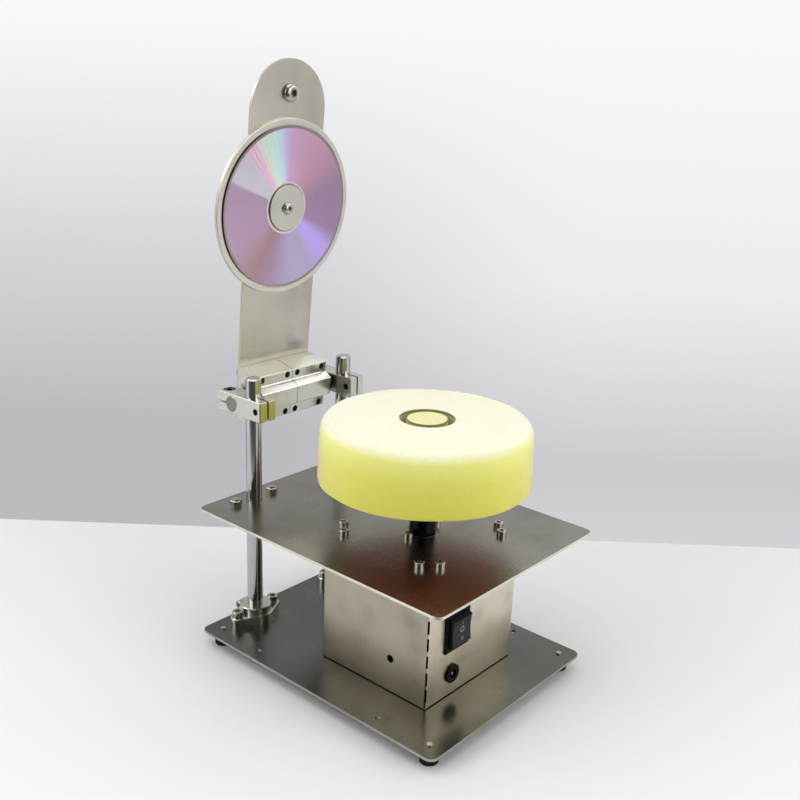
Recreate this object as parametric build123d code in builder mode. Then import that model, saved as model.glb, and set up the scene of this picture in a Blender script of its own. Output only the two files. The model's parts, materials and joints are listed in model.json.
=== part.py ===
"""A bench machine that buffs the scratches out of discs.

A motor in a sheet-metal box turns a soft foam pad under a deck plate. Behind the pad two
upright shafts carry a cross shaft, and an arm swings on it. The arm holds the disc in a
shallow tray and folds forward until the disc faces the foam.

Millimetres, +Z up, -Y is the front with the switch. The origin is on the bench under the
middle of the whole machine, with the arm at rest, leaning a little forward.
"""
from build123d import *
import os
from math import cos, pi, radians, sin, sqrt

os.makedirs("parts", exist_ok=True)

# ---------------------------------------------------------------- driving dimensions
# Clearances, all radial or to one side
RUN = 0.04              # between a shaft and what slides or turns on it
SEAT = 0.02             # between a shaft, pin or thread and the bore that grips it
PASS = 0.3              # between a screw's shank and the hole that it passes through
GAP = 0.3               # between loose neighbours that move past each other

# The two plates and the feet
PLATE_X = 178.0         # width of the base and deck plates
PLATE_Y = 232.0         # their depth
PLATE = 2.0             # their thickness
PLATE_CORNER = 6.0      # radius of their corners
SPINDLE_Y = -39.75      # the spindle, measured from the origin
SPINDLE_TO_FRONT = 88.5     # from the spindle to the plates' front edge
FOOT_H = 10.0
FOOT_D = 13.0
FOOT_INSET = 12.0       # from the plate's edges to the foot's centre
FOOT_POCKET_D = 8.5     # pocket for the screw's head
FOOT_WEB = 5.0          # rubber between the screw's head and the base plate
BENCH_HOLE_D = 4.3      # four open holes for fastening the machine to a bench
BENCH_X = 158.0         # their spacing
BENCH_Y = 121.0

# The folded motor box between the plates
BOX = 100.0             # its width and its depth
BOX_H = 100.0           # its height, which sets the deck's height too
SHEET = 1.2             # its sheet
BEND_R = 2.0            # its outer corner radius
FLANGE = 12.0           # width of the flanges turned in at its top and bottom
FOOT_LINE_H = 1.0       # the shadow line along its foot
FOOT_LINE_DEPTH = 0.9
BEND_SLOTS = 7          # short slots along each upright bend
BEND_SLOT_L = 10.0
BEND_SLOT_PITCH = 13.2
BEND_SLOT_W = 1.5
BOX_SCREW_OUT = 45.0    # the box's screws, from the spindle to the nearer wall's row
BOX_SCREW_ALONG = 35.0  # and along that row
BOX_NUT_D = 6.5         # round clinch nuts in the flanges
BOX_NUT_H = 2.2
BOX_SCREW_L = 6.0
SIDE_HOLE_D = 6.0       # the open hole in the box's left wall
SIDE_HOLE_FRONT = 17.0  # towards the front from the spindle
SIDE_HOLE_UP = 26.0     # above the base plate

# Fasteners: thread, hexagon socket across its flats, head where it is not a cap head
M3 = 3.0
M4 = 4.0
M4_SOCKET = 3.0
M5 = 5.0
M5_SOCKET = 4.0
M5_NUT = 8.0            # across its flats
M5_NUT_H = 4.0
M5_BUTTON_D = 9.5
M5_BUTTON_H = 2.75
M5_BUTTON_SOCKET = 3.0
M8 = 8.0
M8_BUTTON_D = 14.0
M8_BUTTON_H = 4.4
M8_BUTTON_SOCKET = 5.0
TIP = 1.0               # how far a screw's tip stands out of its nut

# The guide shafts and their flanged supports
SHAFT_D = 12.0
SHAFT_L = 198.0
SHAFT_X = 47.5          # half the spacing of the two guide shafts
SHAFT_BACK = 128.0      # from the spindle to the guide shafts
SHAFT_CHAMFER = 1.0
DECK_SHAFT_HOLE_D = 12.5
SUPPORT_T = 7.0         # the support's flange
SUPPORT_H = 13.0        # its whole height
SUPPORT_D = 28.0        # its flange across the shaft
SUPPORT_BOSS_D = 25.0
SUPPORT_EAR_D = 11.0
SUPPORT_HOLE = 18.0     # from the shaft to each screw
SUPPORT_SLIT = 1.6
SUPPORT_PINCH = 9.2     # from the shaft to the pinch screw across the slit
SUPPORT_PINCH_SEAT = 5.5    # from the slit to the pinch screw's head

# The motor that hangs under the deck
MOTOR_D = 48.0
MOTOR_L = 62.0
MOTOR_WALL = 2.0
MOTOR_TOP = 2.5         # thickness of the can's closed end
MOTOR_BOSS_D = 20.0
MOTOR_BOSS_H = 1.5
MOTOR_BOSS_LIP = 0.5
MOTOR_SCREW = 15.75     # from the spindle to each of its two screws
MOTOR_SCREW_L = 4.4
MOTOR_SHAFT_D = 5.0
BEARING_D = 16.0        # the motor's two ball bearings
BEARING_H = 5.0
MAGNET_T = 3.6
MAGNET_H = 38.0
MAGNET_GAP = 14.0       # between the two magnets' edges
AIR_GAP = 0.9
CORE_H = 36.0
CORE_SLOTS = 8
CORE_SLOT_W = 3.2
CORE_SLOT_DEPTH = 9.0
CORE_SLOT_MOUTH = 1.2
WINDING_H = 4.5         # the winding's turns beyond each end of the core
WINDING_INNER_D = 13.0
CORE_DROP = 10.0        # from the deck to the core
COMMUTATOR_D = 14.0
COMMUTATOR_H = 7.0
COMMUTATOR_DROP = 1.0   # from the winding to the commutator
END_CAP_H = 6.0         # the end cap below the can
END_CAP_PLUG = 3.0      # and inside it
END_CAP_FLOOR = 2.0
BRUSH_W = 5.0
BRUSH_L = 9.9
BRUSH_CLEAR = 0.08      # from the commutator to the brushes
HOLDER_WALL = 1.4
HOLDER_START = 8.6      # from the spindle to the brush holders
HOLDER_L = 10.4
TERMINAL_X = 15.0       # the motor's terminals, from the spindle
TERMINAL_W = 4.8
TERMINAL_T = 0.8
TERMINAL_DROP = 6.0     # how far they stand out below the end cap

# The spindle above the deck
DECK_HOLE_D = 25.0
ADAPTER_D = 19.0
ADAPTER_STUD_D = 8.0
ADAPTER_BORE_L = 29.0   # depth of the bore for the motor's shaft
ADAPTER_SCREW_UP = 10.0     # from the adapter's foot to its lower set screw
ADAPTER_SCREW_PITCH = 10.0
SET_SCREW_L = 6.0
SET_SCREW_SOCKET = 2.0
BACKING_D = 118.0
BACKING_T = 4.5
HOOK_T = 1.5            # the hook layer that the foam clings to
PAD_UP = 41.5           # from the deck to the pad's foot
PAD_D = 152.0           # the pad at its foot
PAD_TOP_D = 149.0       # and where its rounded edge begins
PAD_H = 44.2
PAD_EDGE_H = 9.5        # height of the rounded edge
PAD_EDGE_IN = 6.0       # how far the edge draws in
PAD_RING_D = 38.5       # the groove in the pad's top
PAD_PLUG_D = 29.0       # the plug inside it
PAD_RING_DEPTH = 9.0

# The rocker switch and the power socket in the front wall
SWITCH_X = -19.5        # from the spindle
SWITCH_UP = 51.4        # above the base plate
SWITCH_W = 25.5         # bezel
SWITCH_H = 31.0
SWITCH_BEZEL = 2.2
SWITCH_BODY_W = 21.5
SWITCH_BODY_H = 27.8
SWITCH_BODY_DEPTH = 19.0
SWITCH_POCKET_W = 20.3
SWITCH_POCKET_H = 24.8
SWITCH_POCKET_DEPTH = 7.4
PADDLE_PIVOT = 1.0      # from the wall's face back to the rocker's axis
PADDLE_REACH = 9.8      # from the axis to the paddle's ends
PADDLE_PROUD = 6.9      # from the axis out to those ends
PADDLE_DIP = 5.9        # from the axis out to the middle of the hollow face
PADDLE_BACK = 3.0       # from the axis in to the paddle's back corners
PADDLE_KEEL = 5.0       # and to its lowest line
PADDLE_PIN_D = 3.0
PADDLE_PIN_END = 0.8
BLADE_X = 5.5           # the switch's terminals, from its middle
BLADE_UP = 7.0
BLADE_W = 6.3
BLADE_T = 0.8
BLADE_L = 8.0
JACK_X = -22.4
JACK_UP = 17.0
JACK_FLANGE_D = 14.0
JACK_FLANGE = 2.0
JACK_BARREL_D = 11.0
JACK_BARREL_L = 12.0
JACK_BORE_D = 6.3
JACK_BORE_L = 10.5
JACK_PIN_D = 2.1
JACK_PIN_BACK = 1.0     # from the flange's face to the pin's tip
JACK_NUT = 13.0
JACK_NUT_H = 2.5
JACK_TAB_W = 2.2
JACK_TAB_T = 0.6
JACK_TAB_L = 5.0
JACK_TAB_SIDE = 3.7     # from the pin to the outer contact's tab
LEAD_D = 1.8
LEAD_R = 3.5            # bend radius of the leads
LEAD_REACH = 7.5        # how far a lead runs straight back from the socket
LEAD_DROP = 6.0         # how far the leads hang below the motor's terminals

# The carriage: two cross clamps and the cross shaft
CLAMP_W = 15.5
CLAMP_H = 15.5
CLAMP_FRONT = 16.0      # from the guide shaft to the clamp's front face
CLAMP_L = 48.0
CLAMP_EDGE = 0.6
CLAMP_SLIT = 1.5
CROSS_BACK = 16.0       # from the guide shafts to the cross shaft
CROSS_UP = 175.5        # from the base plate's top to the cross shaft
CLAMP_FRONT_SCREW = 10.8    # from the guide shaft forward to the front clamp screw
CLAMP_BACK_SCREW = 11.0     # from the cross shaft back to the rear clamp screw
CLAMP_SINK_D = 9.4      # counterbores for the clamp screws' heads
CLAMP_SINK = 5.5
CLAMP_SCREW_L = 8.0

# The bearing blocks, measured from the cross shaft
BLOCK_L = 36.0
BLOCK_PITCH = 36.4
BLOCK_BACK = 15.0       # to the face that the arm is screwed to
BLOCK_FLANGE = 8.0      # thickness of the wide flange
BLOCK_EAR = 6.0         # to the face with the screw holes
BLOCK_CROWN = 13.0      # to the front face
BLOCK_H = 42.0          # the wide flange
BLOCK_EAR_H = 37.0
BLOCK_NECK_H = 20.6
BLOCK_CROWN_H = 14.2
BLOCK_HOLE_X = 13.0     # half the spacing of its screws along the shaft
BLOCK_HOLE_U = 15.25    # half their spacing along the arm
BLOCK_SCREW_L = 12.0
SLEEVE_D = 21.0         # the linear bearings
SLEEVE_L = 30.0
CLIP_T = 1.0
CLIP_GROOVE = 1.1
CLIP_OUTER_D = 22.3
CLIP_INNER_D = 18.4
CLIP_MOUTH = 6.0

# The arm, measured along itself from the cross shaft
LEAN = 4.8              # degrees forward of upright, at rest
ARM_W = 72.0
ARM_T = 2.0
ARM_TAIL = 21.0         # below the cross shaft
ARM_TIP = 23.5          # from the knob's screw to the tip of the arm's round end
ARM_CORNER = 3.0
DISC_U = 141.0          # to the disc's centre
TRAY_D = 130.0
TRAY_RIM_D = 122.0      # inside the rim
TRAY_H = 2.4
TRAY_FLOOR = 1.6
TRAY_EDGE = 0.5
TRAY_SCREW_R = 24.0     # radius of the ring of four countersunk screws
TRAY_SCREW_HEAD_D = 6.0
TRAY_SCREW_L = 3.6
MAT_D = 119.0
MAT_T = 0.5
DISC_D = 120.0
DISC_T = 1.2
DISC_HOLE_D = 15.0
HUB_D = 34.0
HUB_T = 1.2
HUB_EDGE = 0.4
HUB_SPIGOT_D = 14.8
KNOB_OUT = 10.5         # from the tray's rim to the head of the knob's screw
KNOB_D = 20.0
KNOB_L = 25.4
KNOB_ROUND = 5.0
KNOB_BORE_L = 14.0
KNOB_SCREW_L = 15.5

# ---------------------------------------------------------------- places worked out
BASE_Z = FOOT_H
BASE_TOP = BASE_Z + PLATE
DECK_Z = BASE_TOP + BOX_H
DECK_TOP = DECK_Z + PLATE
PLATE_MID_Y = SPINDLE_Y - SPINDLE_TO_FRONT + PLATE_Y / 2
SHAFT_Y = SPINDLE_Y + SHAFT_BACK
CROSS_Y = SHAFT_Y + CROSS_BACK
CROSS_Z = BASE_TOP + CROSS_UP
ADAPTER_Z = DECK_Z + MOTOR_BOSS_H + GAP
PAD_Z = DECK_TOP + PAD_UP
HOOK_Z = PAD_Z - HOOK_T
BACKING_Z = HOOK_Z - BACKING_T
CORE_TOP = DECK_Z - CORE_DROP
CORE_Z = CORE_TOP - CORE_H
COMMUTATOR_TOP = CORE_Z - WINDING_H - COMMUTATOR_DROP
CAN_Z = DECK_Z - MOTOR_L
END_CAP_Z = CAN_Z - END_CAP_H
SWITCH_Z = BASE_TOP + SWITCH_UP
JACK_Z = BASE_TOP + JACK_UP
KNOB_U = DISC_U + TRAY_D / 2 + KNOB_OUT + M8_BUTTON_D / 2   # the knob's screw, along the arm
ARM_L = KNOB_U + ARM_TIP - ARM_W / 2                        # the centre of the arm's round end

SPINDLE = Plane(origin=(0, SPINDLE_Y, 0))
PLATES = Plane(origin=(0, PLATE_MID_Y, 0))
# The box's front wall, seen from the front: its own x is +X and its own y is +Z
FRONT = Plane(origin=(0, SPINDLE_Y - BOX / 2, 0), x_dir=(1, 0, 0), z_dir=(0, -1, 0))
LEFT = Plane(origin=(-BOX / 2, SPINDLE_Y, 0), x_dir=(0, -1, 0), z_dir=(-1, 0, 0))
# The arm, seen from its front: its own x is +X, its own y runs up the arm
ARM = Plane(
    origin=(0, CROSS_Y, CROSS_Z),
    x_dir=(1, 0, 0),
    z_dir=(0, -cos(radians(LEAN)), -sin(radians(LEAN))),
)
ARM_FRONT = ARM.offset(-BLOCK_BACK)
ARM_BACK = ARM_FRONT.offset(-ARM_T)
TRAY_SEAT = ARM_FRONT.offset(TRAY_FLOOR)
DISC_BACK = TRAY_SEAT.offset(MAT_T)
DISC_FACE = DISC_BACK.offset(DISC_T)
HUB_FACE = DISC_FACE.offset(HUB_T)

HUB = [(0, DISC_U)]
BOX_SCREWS = [(i * a, j * b) for i in (-1, 1) for j in (-1, 1)
              for a, b in ((BOX_SCREW_OUT, BOX_SCREW_ALONG), (BOX_SCREW_ALONG, BOX_SCREW_OUT))]
MOTOR_SCREWS = [(-MOTOR_SCREW, 0), (MOTOR_SCREW, 0)]
SHAFTS = [(-SHAFT_X, SHAFT_Y), (SHAFT_X, SHAFT_Y)]
SUPPORT_SCREWS = [(x + i * SUPPORT_HOLE, y) for x, y in SHAFTS for i in (-1, 1)]
BLOCK_SCREWS = [(i * BLOCK_PITCH / 2 + j * BLOCK_HOLE_X, k * BLOCK_HOLE_U)
                for i in (-1, 1) for j in (-1, 1) for k in (-1, 1)]
TRAY_SCREWS = [(i * TRAY_SCREW_R * sin(pi / 4), DISC_U + j * TRAY_SCREW_R * cos(pi / 4))
               for i in (-1, 1) for j in (-1, 1)]
FEET = [(i * (PLATE_X / 2 - FOOT_INSET), j * (PLATE_Y / 2 - FOOT_INSET)) for i in (-1, 1) for j in (-1, 1)]


def down(level, x=0.0, y=0.0):
    """A level plane that faces down. Its own x points to -X, so places on it are mirrored()."""
    return Plane(origin=(x, y, level), x_dir=(-1, 0, 0), z_dir=(0, 0, -1))


def mirrored(places):
    """The same places as they read on a plane made by down()."""
    return [(-x, y) for x, y in places]


# ---------------------------------------------------------------- helpers
def bars(plane, places, radius, length, mode=Mode.ADD):
    """Round bars, or holes, of one size: one from the plane at each place."""
    with BuildSketch(plane) as rounds:
        with Locations(*places):
            Circle(radius)
    extrude(rounds.sketch, amount=length, mode=mode)


def blocks(plane, places, width, height, length, mode=Mode.ADD):
    """Square bars, or holes, of one size: one from the plane at each place."""
    with BuildSketch(plane) as squares:
        with Locations(*places):
            Rectangle(width, height)
    extrude(squares.sketch, amount=length, mode=mode)


def hexagons(plane, places, across_flats, length, mode=Mode.ADD):
    """Hexagonal bars, or sockets, of one size, with two flats towards the plane's own +x and -x."""
    with BuildSketch(plane) as sixes:
        with Locations(*places):
            RegularPolygon(across_flats / 2, 6, major_radius=False, rotation=30)
    extrude(sixes.sketch, amount=length, mode=mode)


def rim(plane, height):
    """The edges of the last operation that lie at this height above the plane."""
    level = lambda edge: abs(plane.to_local_coords(edge.center()).Z - height) < 0.001
    return edges(Select.LAST).filter_by(level)


def cap_head_r(thread):
    """Radius of a socket cap head."""
    return 0.75 * thread + 0.5


def cap_screws(plane, places, thread, socket, shank):
    """Socket cap screws with their heads on the plane and their shanks behind it."""
    bars(plane, places, cap_head_r(thread), thread)
    chamfer(rim(plane, thread), thread / 12)
    bars(plane, places, thread / 2, -shank)
    hexagons(plane.offset(thread), places, socket, -thread / 2, Mode.SUBTRACT)


def button_screws(plane, places, thread, head_d, head_h, socket, shank):
    """Button-head screws with their heads on the plane and their shanks behind it."""
    bars(plane, places, head_d / 2, head_h)
    fillet(rim(plane, head_h), 0.8 * head_h)
    bars(plane, places, thread / 2, -shank)
    hexagons(plane.offset(head_h), places, socket, -0.6 * head_h, Mode.SUBTRACT)


def nuts(plane, places, thread, across_flats, height):
    """Hexagon nuts that stand on the plane."""
    hexagons(plane, places, across_flats, height)
    chamfer(rim(plane, height), thread / 12)
    bars(plane, places, thread / 2 + SEAT, height, Mode.SUBTRACT)


def plate_outline(level):
    """The outline that both plates share."""
    with BuildSketch(PLATES.offset(level)) as outline:
        RectangleRounded(PLATE_X, PLATE_Y, PLATE_CORNER)
    extrude(outline.sketch, amount=PLATE)


# ---------------------------------------------------------------- base plate
with BuildPart() as base_plate:
    plate_outline(BASE_Z)
    bars(PLATES.offset(BASE_Z), FEET, M4 / 2 + SEAT, PLATE, Mode.SUBTRACT)
    with Locations(PLATES.offset(BASE_TOP)):
        with GridLocations(BENCH_X, BENCH_Y, 2, 2):
            Hole(BENCH_HOLE_D / 2, PLATE)
    bars(SPINDLE.offset(BASE_Z), BOX_SCREWS, M4 / 2 + PASS, PLATE, Mode.SUBTRACT)
    bars(Plane.XY.offset(BASE_Z), SUPPORT_SCREWS, M5 / 2 + PASS, PLATE, Mode.SUBTRACT)
base_plate.part.label = "base_plate"
export_step(base_plate.part, "parts/base_plate.step")

# ---------------------------------------------------------------- deck plate
with BuildPart() as deck_plate:
    plate_outline(DECK_Z)
    bars(SPINDLE.offset(DECK_Z), [(0, 0)], DECK_HOLE_D / 2, PLATE, Mode.SUBTRACT)
    bars(SPINDLE.offset(DECK_Z), BOX_SCREWS, M4 / 2 + PASS, PLATE, Mode.SUBTRACT)
    bars(SPINDLE.offset(DECK_Z), MOTOR_SCREWS, M4 / 2 + PASS, PLATE, Mode.SUBTRACT)
    bars(Plane.XY.offset(DECK_Z), SHAFTS, DECK_SHAFT_HOLE_D / 2, PLATE, Mode.SUBTRACT)
    bars(Plane.XY.offset(DECK_Z), SUPPORT_SCREWS, M5 / 2 + PASS, PLATE, Mode.SUBTRACT)
deck_plate.part.label = "deck_plate"
export_step(deck_plate.part, "parts/deck_plate.step")

# ---------------------------------------------------------------- feet and their screws
with BuildPart() as feet:
    bars(PLATES, FEET, FOOT_D / 2, FOOT_H)
    chamfer(rim(PLATES, 0), 0.6)
    bars(PLATES, FEET, FOOT_POCKET_D / 2, FOOT_H - FOOT_WEB, Mode.SUBTRACT)
    bars(PLATES, FEET, M4 / 2 + PASS, FOOT_H, Mode.SUBTRACT)
feet.part.label = "feet"
export_step(feet.part, "parts/feet.step")

with BuildPart() as foot_screws:
    cap_screws(down(FOOT_H - FOOT_WEB, y=PLATE_MID_Y), mirrored(FEET), M4, M4_SOCKET,
               FOOT_WEB + PLATE + TIP)
foot_screws.part.label = "foot_screws"
export_step(foot_screws.part, "parts/foot_screws.step")


# ---------------------------------------------------------------- shaft supports
def pinch_plane(seat, sense):
    """Across a support's slit, at the height of its pinch screw."""
    height = (SUPPORT_T + SUPPORT_H) / 2
    origin = seat.from_local_coords((0, SUPPORT_PINCH, height))
    return Plane(origin=origin, x_dir=(0, 1, 0), z_dir=(sense, 0, 0))


def shaft_support(seat, sense):
    """A flanged support that stands on the plane, with the shaft on the plane's own origin."""
    with BuildSketch(seat) as flange:
        Circle(SUPPORT_D / 2)
        with Locations((-SUPPORT_HOLE, 0), (SUPPORT_HOLE, 0)):
            Circle(SUPPORT_EAR_D / 2)
        make_hull()
    extrude(flange.sketch, amount=SUPPORT_T)
    chamfer(rim(seat, SUPPORT_T), 0.5)
    bars(seat, [(0, 0)], SUPPORT_BOSS_D / 2, SUPPORT_H)
    chamfer(rim(seat, SUPPORT_H), 0.5)
    bars(seat, [(0, 0)], SHAFT_D / 2 + SEAT, SUPPORT_H, Mode.SUBTRACT)
    bars(seat, [(-SUPPORT_HOLE, 0), (SUPPORT_HOLE, 0)], M5 / 2 + PASS, SUPPORT_T, Mode.SUBTRACT)
    blocks(seat, [(0, SUPPORT_D / 2)], SUPPORT_SLIT, SUPPORT_D, SUPPORT_H, Mode.SUBTRACT)
    pinch = pinch_plane(seat, sense)
    bars(pinch.offset(-SUPPORT_D / 2), [(0, 0)], M4 / 2 + SEAT, SUPPORT_D, Mode.SUBTRACT)
    bars(pinch.offset(SUPPORT_PINCH_SEAT), [(0, 0)], cap_head_r(M4) + GAP, SUPPORT_D / 2, Mode.SUBTRACT)


for side, sense, (x, y) in zip(("left", "right"), (-1, 1), SHAFTS):
    with BuildPart() as low_support:
        shaft_support(Plane(origin=(x, y, BASE_TOP)), sense)
    low_support.part.label = f"low_support_{side}"
    export_step(low_support.part, f"parts/low_support_{side}.step")

    with BuildPart() as top_support:
        shaft_support(down(DECK_Z, x, y), sense)
    top_support.part.label = f"top_support_{side}"
    export_step(top_support.part, f"parts/top_support_{side}.step")

# Four screws go down through the base and four go up through the deck
with BuildPart() as support_screws:
    cap_screws(Plane.XY.offset(BASE_TOP + SUPPORT_T), SUPPORT_SCREWS, M5, M5_SOCKET,
               SUPPORT_T + PLATE + M5_NUT_H + TIP)
    cap_screws(down(DECK_Z - SUPPORT_T), mirrored(SUPPORT_SCREWS), M5, M5_SOCKET,
               SUPPORT_T + PLATE + M5_NUT_H + TIP)
support_screws.part.label = "support_screws"
export_step(support_screws.part, "parts/support_screws.step")

with BuildPart() as support_nuts:
    nuts(down(BASE_Z), mirrored(SUPPORT_SCREWS), M5, M5_NUT, M5_NUT_H)
    nuts(Plane.XY.offset(DECK_TOP), SUPPORT_SCREWS, M5, M5_NUT, M5_NUT_H)
support_nuts.part.label = "support_nuts"
export_step(support_nuts.part, "parts/support_nuts.step")

with BuildPart() as pinch_screws:
    for sense, (x, y) in zip((-1, 1), SHAFTS):
        for seat in (Plane(origin=(x, y, BASE_TOP)), down(DECK_Z, x, y)):
            cap_screws(pinch_plane(seat, sense).offset(SUPPORT_PINCH_SEAT), [(0, 0)], M4, M4_SOCKET,
                       2 * SUPPORT_PINCH_SEAT)
pinch_screws.part.label = "pinch_screws"
export_step(pinch_screws.part, "parts/pinch_screws.step")

# ---------------------------------------------------------------- guide shafts
for side, place in zip(("left", "right"), SHAFTS):
    with BuildPart() as guide_shaft:
        bars(Plane.XY.offset(BASE_TOP), [place], SHAFT_D / 2, SHAFT_L)
        chamfer(rim(Plane.XY.offset(BASE_TOP), SHAFT_L), SHAFT_CHAMFER)
    guide_shaft.part.label = f"guide_shaft_{side}"
    export_step(guide_shaft.part, f"parts/guide_shaft_{side}.step")

# ---------------------------------------------------------------- motor box
with BuildPart() as motor_box:
    with BuildSketch(SPINDLE.offset(BASE_TOP)):
        RectangleRounded(BOX, BOX, BEND_R)
    extrude(amount=BOX_H)
    with BuildSketch(SPINDLE.offset(BASE_TOP + SHEET)):
        RectangleRounded(BOX - 2 * SHEET, BOX - 2 * SHEET, BEND_R - SHEET)
    extrude(amount=BOX_H - 2 * SHEET, mode=Mode.SUBTRACT)
    blocks(SPINDLE.offset(BASE_TOP), [(0, 0)], BOX - 2 * FLANGE, BOX - 2 * FLANGE, BOX_H, Mode.SUBTRACT)
    with BuildSketch(SPINDLE.offset(BASE_TOP)):
        Rectangle(BOX, BOX)
        Rectangle(BOX - 2 * FOOT_LINE_DEPTH, BOX - 2 * FOOT_LINE_DEPTH, mode=Mode.SUBTRACT)
    extrude(amount=FOOT_LINE_H, mode=Mode.SUBTRACT)
    first_slot = (BOX_H - (BEND_SLOTS - 1) * BEND_SLOT_PITCH - BEND_SLOT_L) / 2
    for i in range(BEND_SLOTS):
        with BuildSketch(SPINDLE.offset(BASE_TOP + first_slot + i * BEND_SLOT_PITCH)):
            with PolarLocations(BOX / sqrt(2), 4, start_angle=45):
                Rectangle(4 * BEND_R, BEND_SLOT_W)
        extrude(amount=BEND_SLOT_L, mode=Mode.SUBTRACT)
    bars(SPINDLE.offset(BASE_TOP), BOX_SCREWS, M4 / 2 + PASS, BOX_H, Mode.SUBTRACT)
    blocks(FRONT, [(SWITCH_X, SWITCH_Z)], SWITCH_BODY_W + 2 * PASS, SWITCH_BODY_H + 2 * PASS,
           -SHEET, Mode.SUBTRACT)
    bars(FRONT, [(JACK_X, JACK_Z)], JACK_BARREL_D / 2 + PASS, -SHEET, Mode.SUBTRACT)
    bars(LEFT, [(SIDE_HOLE_FRONT, BASE_TOP + SIDE_HOLE_UP)], SIDE_HOLE_D / 2, -SHEET, Mode.SUBTRACT)
motor_box.part.label = "motor_box"
export_step(motor_box.part, "parts/motor_box.step")

# Eight screws hold the deck to the box's top flanges, and eight hold the base to its lower ones
with BuildPart() as box_screws:
    cap_screws(SPINDLE.offset(DECK_TOP), BOX_SCREWS, M4, M4_SOCKET, BOX_SCREW_L)
    cap_screws(down(BASE_Z, y=SPINDLE_Y), mirrored(BOX_SCREWS), M4, M4_SOCKET, BOX_SCREW_L)
box_screws.part.label = "box_screws"
export_step(box_screws.part, "parts/box_screws.step")

with BuildPart() as box_nuts:
    for plane, places in ((down(DECK_Z - SHEET, y=SPINDLE_Y), mirrored(BOX_SCREWS)),
                          (SPINDLE.offset(BASE_TOP + SHEET), BOX_SCREWS)):
        bars(plane, places, BOX_NUT_D / 2, BOX_NUT_H)
        bars(plane, places, M4 / 2 + SEAT, BOX_NUT_H, Mode.SUBTRACT)
box_nuts.part.label = "box_nuts"
export_step(box_nuts.part, "parts/box_nuts.step")

# ---------------------------------------------------------------- motor, the part that stands still
CENTRE = [(0, 0)]
BEARING_TOP = DECK_Z + MOTOR_BOSS_H - MOTOR_BOSS_LIP
with BuildPart() as motor_can:
    bars(SPINDLE.offset(CAN_Z), CENTRE, MOTOR_D / 2, MOTOR_L)
    bars(SPINDLE.offset(DECK_Z), CENTRE, MOTOR_BOSS_D / 2, MOTOR_BOSS_H)
    bars(SPINDLE.offset(CAN_Z), CENTRE, MOTOR_D / 2 - MOTOR_WALL, MOTOR_L - MOTOR_TOP, Mode.SUBTRACT)
    bars(SPINDLE.offset(BEARING_TOP), CENTRE, BEARING_D / 2 + SEAT, -BEARING_H, Mode.SUBTRACT)
    bars(SPINDLE.offset(BEARING_TOP), CENTRE, MOTOR_SHAFT_D / 2 + 1, MOTOR_BOSS_LIP, Mode.SUBTRACT)
    bars(SPINDLE.offset(DECK_Z), MOTOR_SCREWS, M4 / 2 + SEAT, -MOTOR_TOP, Mode.SUBTRACT)
motor_can.part.label = "motor_can"
export_step(motor_can.part, "parts/motor_can.step")

BRUSH_Z = COMMUTATOR_TOP - COMMUTATOR_H / 2
TERMINALS = [(-TERMINAL_X, 0), (TERMINAL_X, 0)]
with BuildPart() as motor_end_cap:
    bars(SPINDLE.offset(END_CAP_Z), CENTRE, MOTOR_D / 2, END_CAP_H)
    bars(SPINDLE.offset(CAN_Z), CENTRE, MOTOR_D / 2 - MOTOR_WALL - SEAT, END_CAP_PLUG)
    with BuildSketch(SPINDLE.offset(CAN_Z + END_CAP_PLUG)):
        with Locations((-HOLDER_START - HOLDER_L / 2, 0), (HOLDER_START + HOLDER_L / 2, 0)):
            Rectangle(HOLDER_L, BRUSH_W + 2 * HOLDER_WALL)
    extrude(amount=BRUSH_Z + BRUSH_W / 2 + HOLDER_WALL - CAN_Z - END_CAP_PLUG)
    bars(SPINDLE.offset(END_CAP_Z + END_CAP_FLOOR), CENTRE, BEARING_D / 2 + SEAT,
         END_CAP_H + END_CAP_PLUG, Mode.SUBTRACT)
    with BuildSketch(Plane(origin=(0, SPINDLE_Y, BRUSH_Z), x_dir=(0, 1, 0), z_dir=(1, 0, 0))):
        Rectangle(BRUSH_W + 2 * SEAT, BRUSH_W + 2 * SEAT)
    extrude(amount=HOLDER_START + HOLDER_L, both=True, mode=Mode.SUBTRACT)
    blocks(SPINDLE.offset(END_CAP_Z), TERMINALS, TERMINAL_T + 2 * SEAT, TERMINAL_W + 2 * SEAT,
           END_CAP_H + END_CAP_PLUG, Mode.SUBTRACT)
motor_end_cap.part.label = "motor_end_cap"
export_step(motor_end_cap.part, "parts/motor_end_cap.step")

MAGNET_R = MOTOR_D / 2 - MOTOR_WALL - SEAT
with BuildPart() as motor_magnets:
    with BuildSketch(SPINDLE.offset((CORE_Z + CORE_TOP - MAGNET_H) / 2)):
        Circle(MAGNET_R)
        Circle(MAGNET_R - MAGNET_T, mode=Mode.SUBTRACT)
        Rectangle(MOTOR_D, MAGNET_GAP, mode=Mode.SUBTRACT)
    extrude(amount=MAGNET_H)
motor_magnets.part.label = "motor_magnets"
export_step(motor_magnets.part, "parts/motor_magnets.step")

with BuildPart() as motor_bearings:
    for level in (BEARING_TOP - BEARING_H, END_CAP_Z + END_CAP_FLOOR):
        with BuildSketch(SPINDLE.offset(level)):
            Circle(BEARING_D / 2)
            Circle(MOTOR_SHAFT_D / 2 + RUN, mode=Mode.SUBTRACT)
        extrude(amount=BEARING_H)
motor_bearings.part.label = "motor_bearings"
export_step(motor_bearings.part, "parts/motor_bearings.step")

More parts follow.
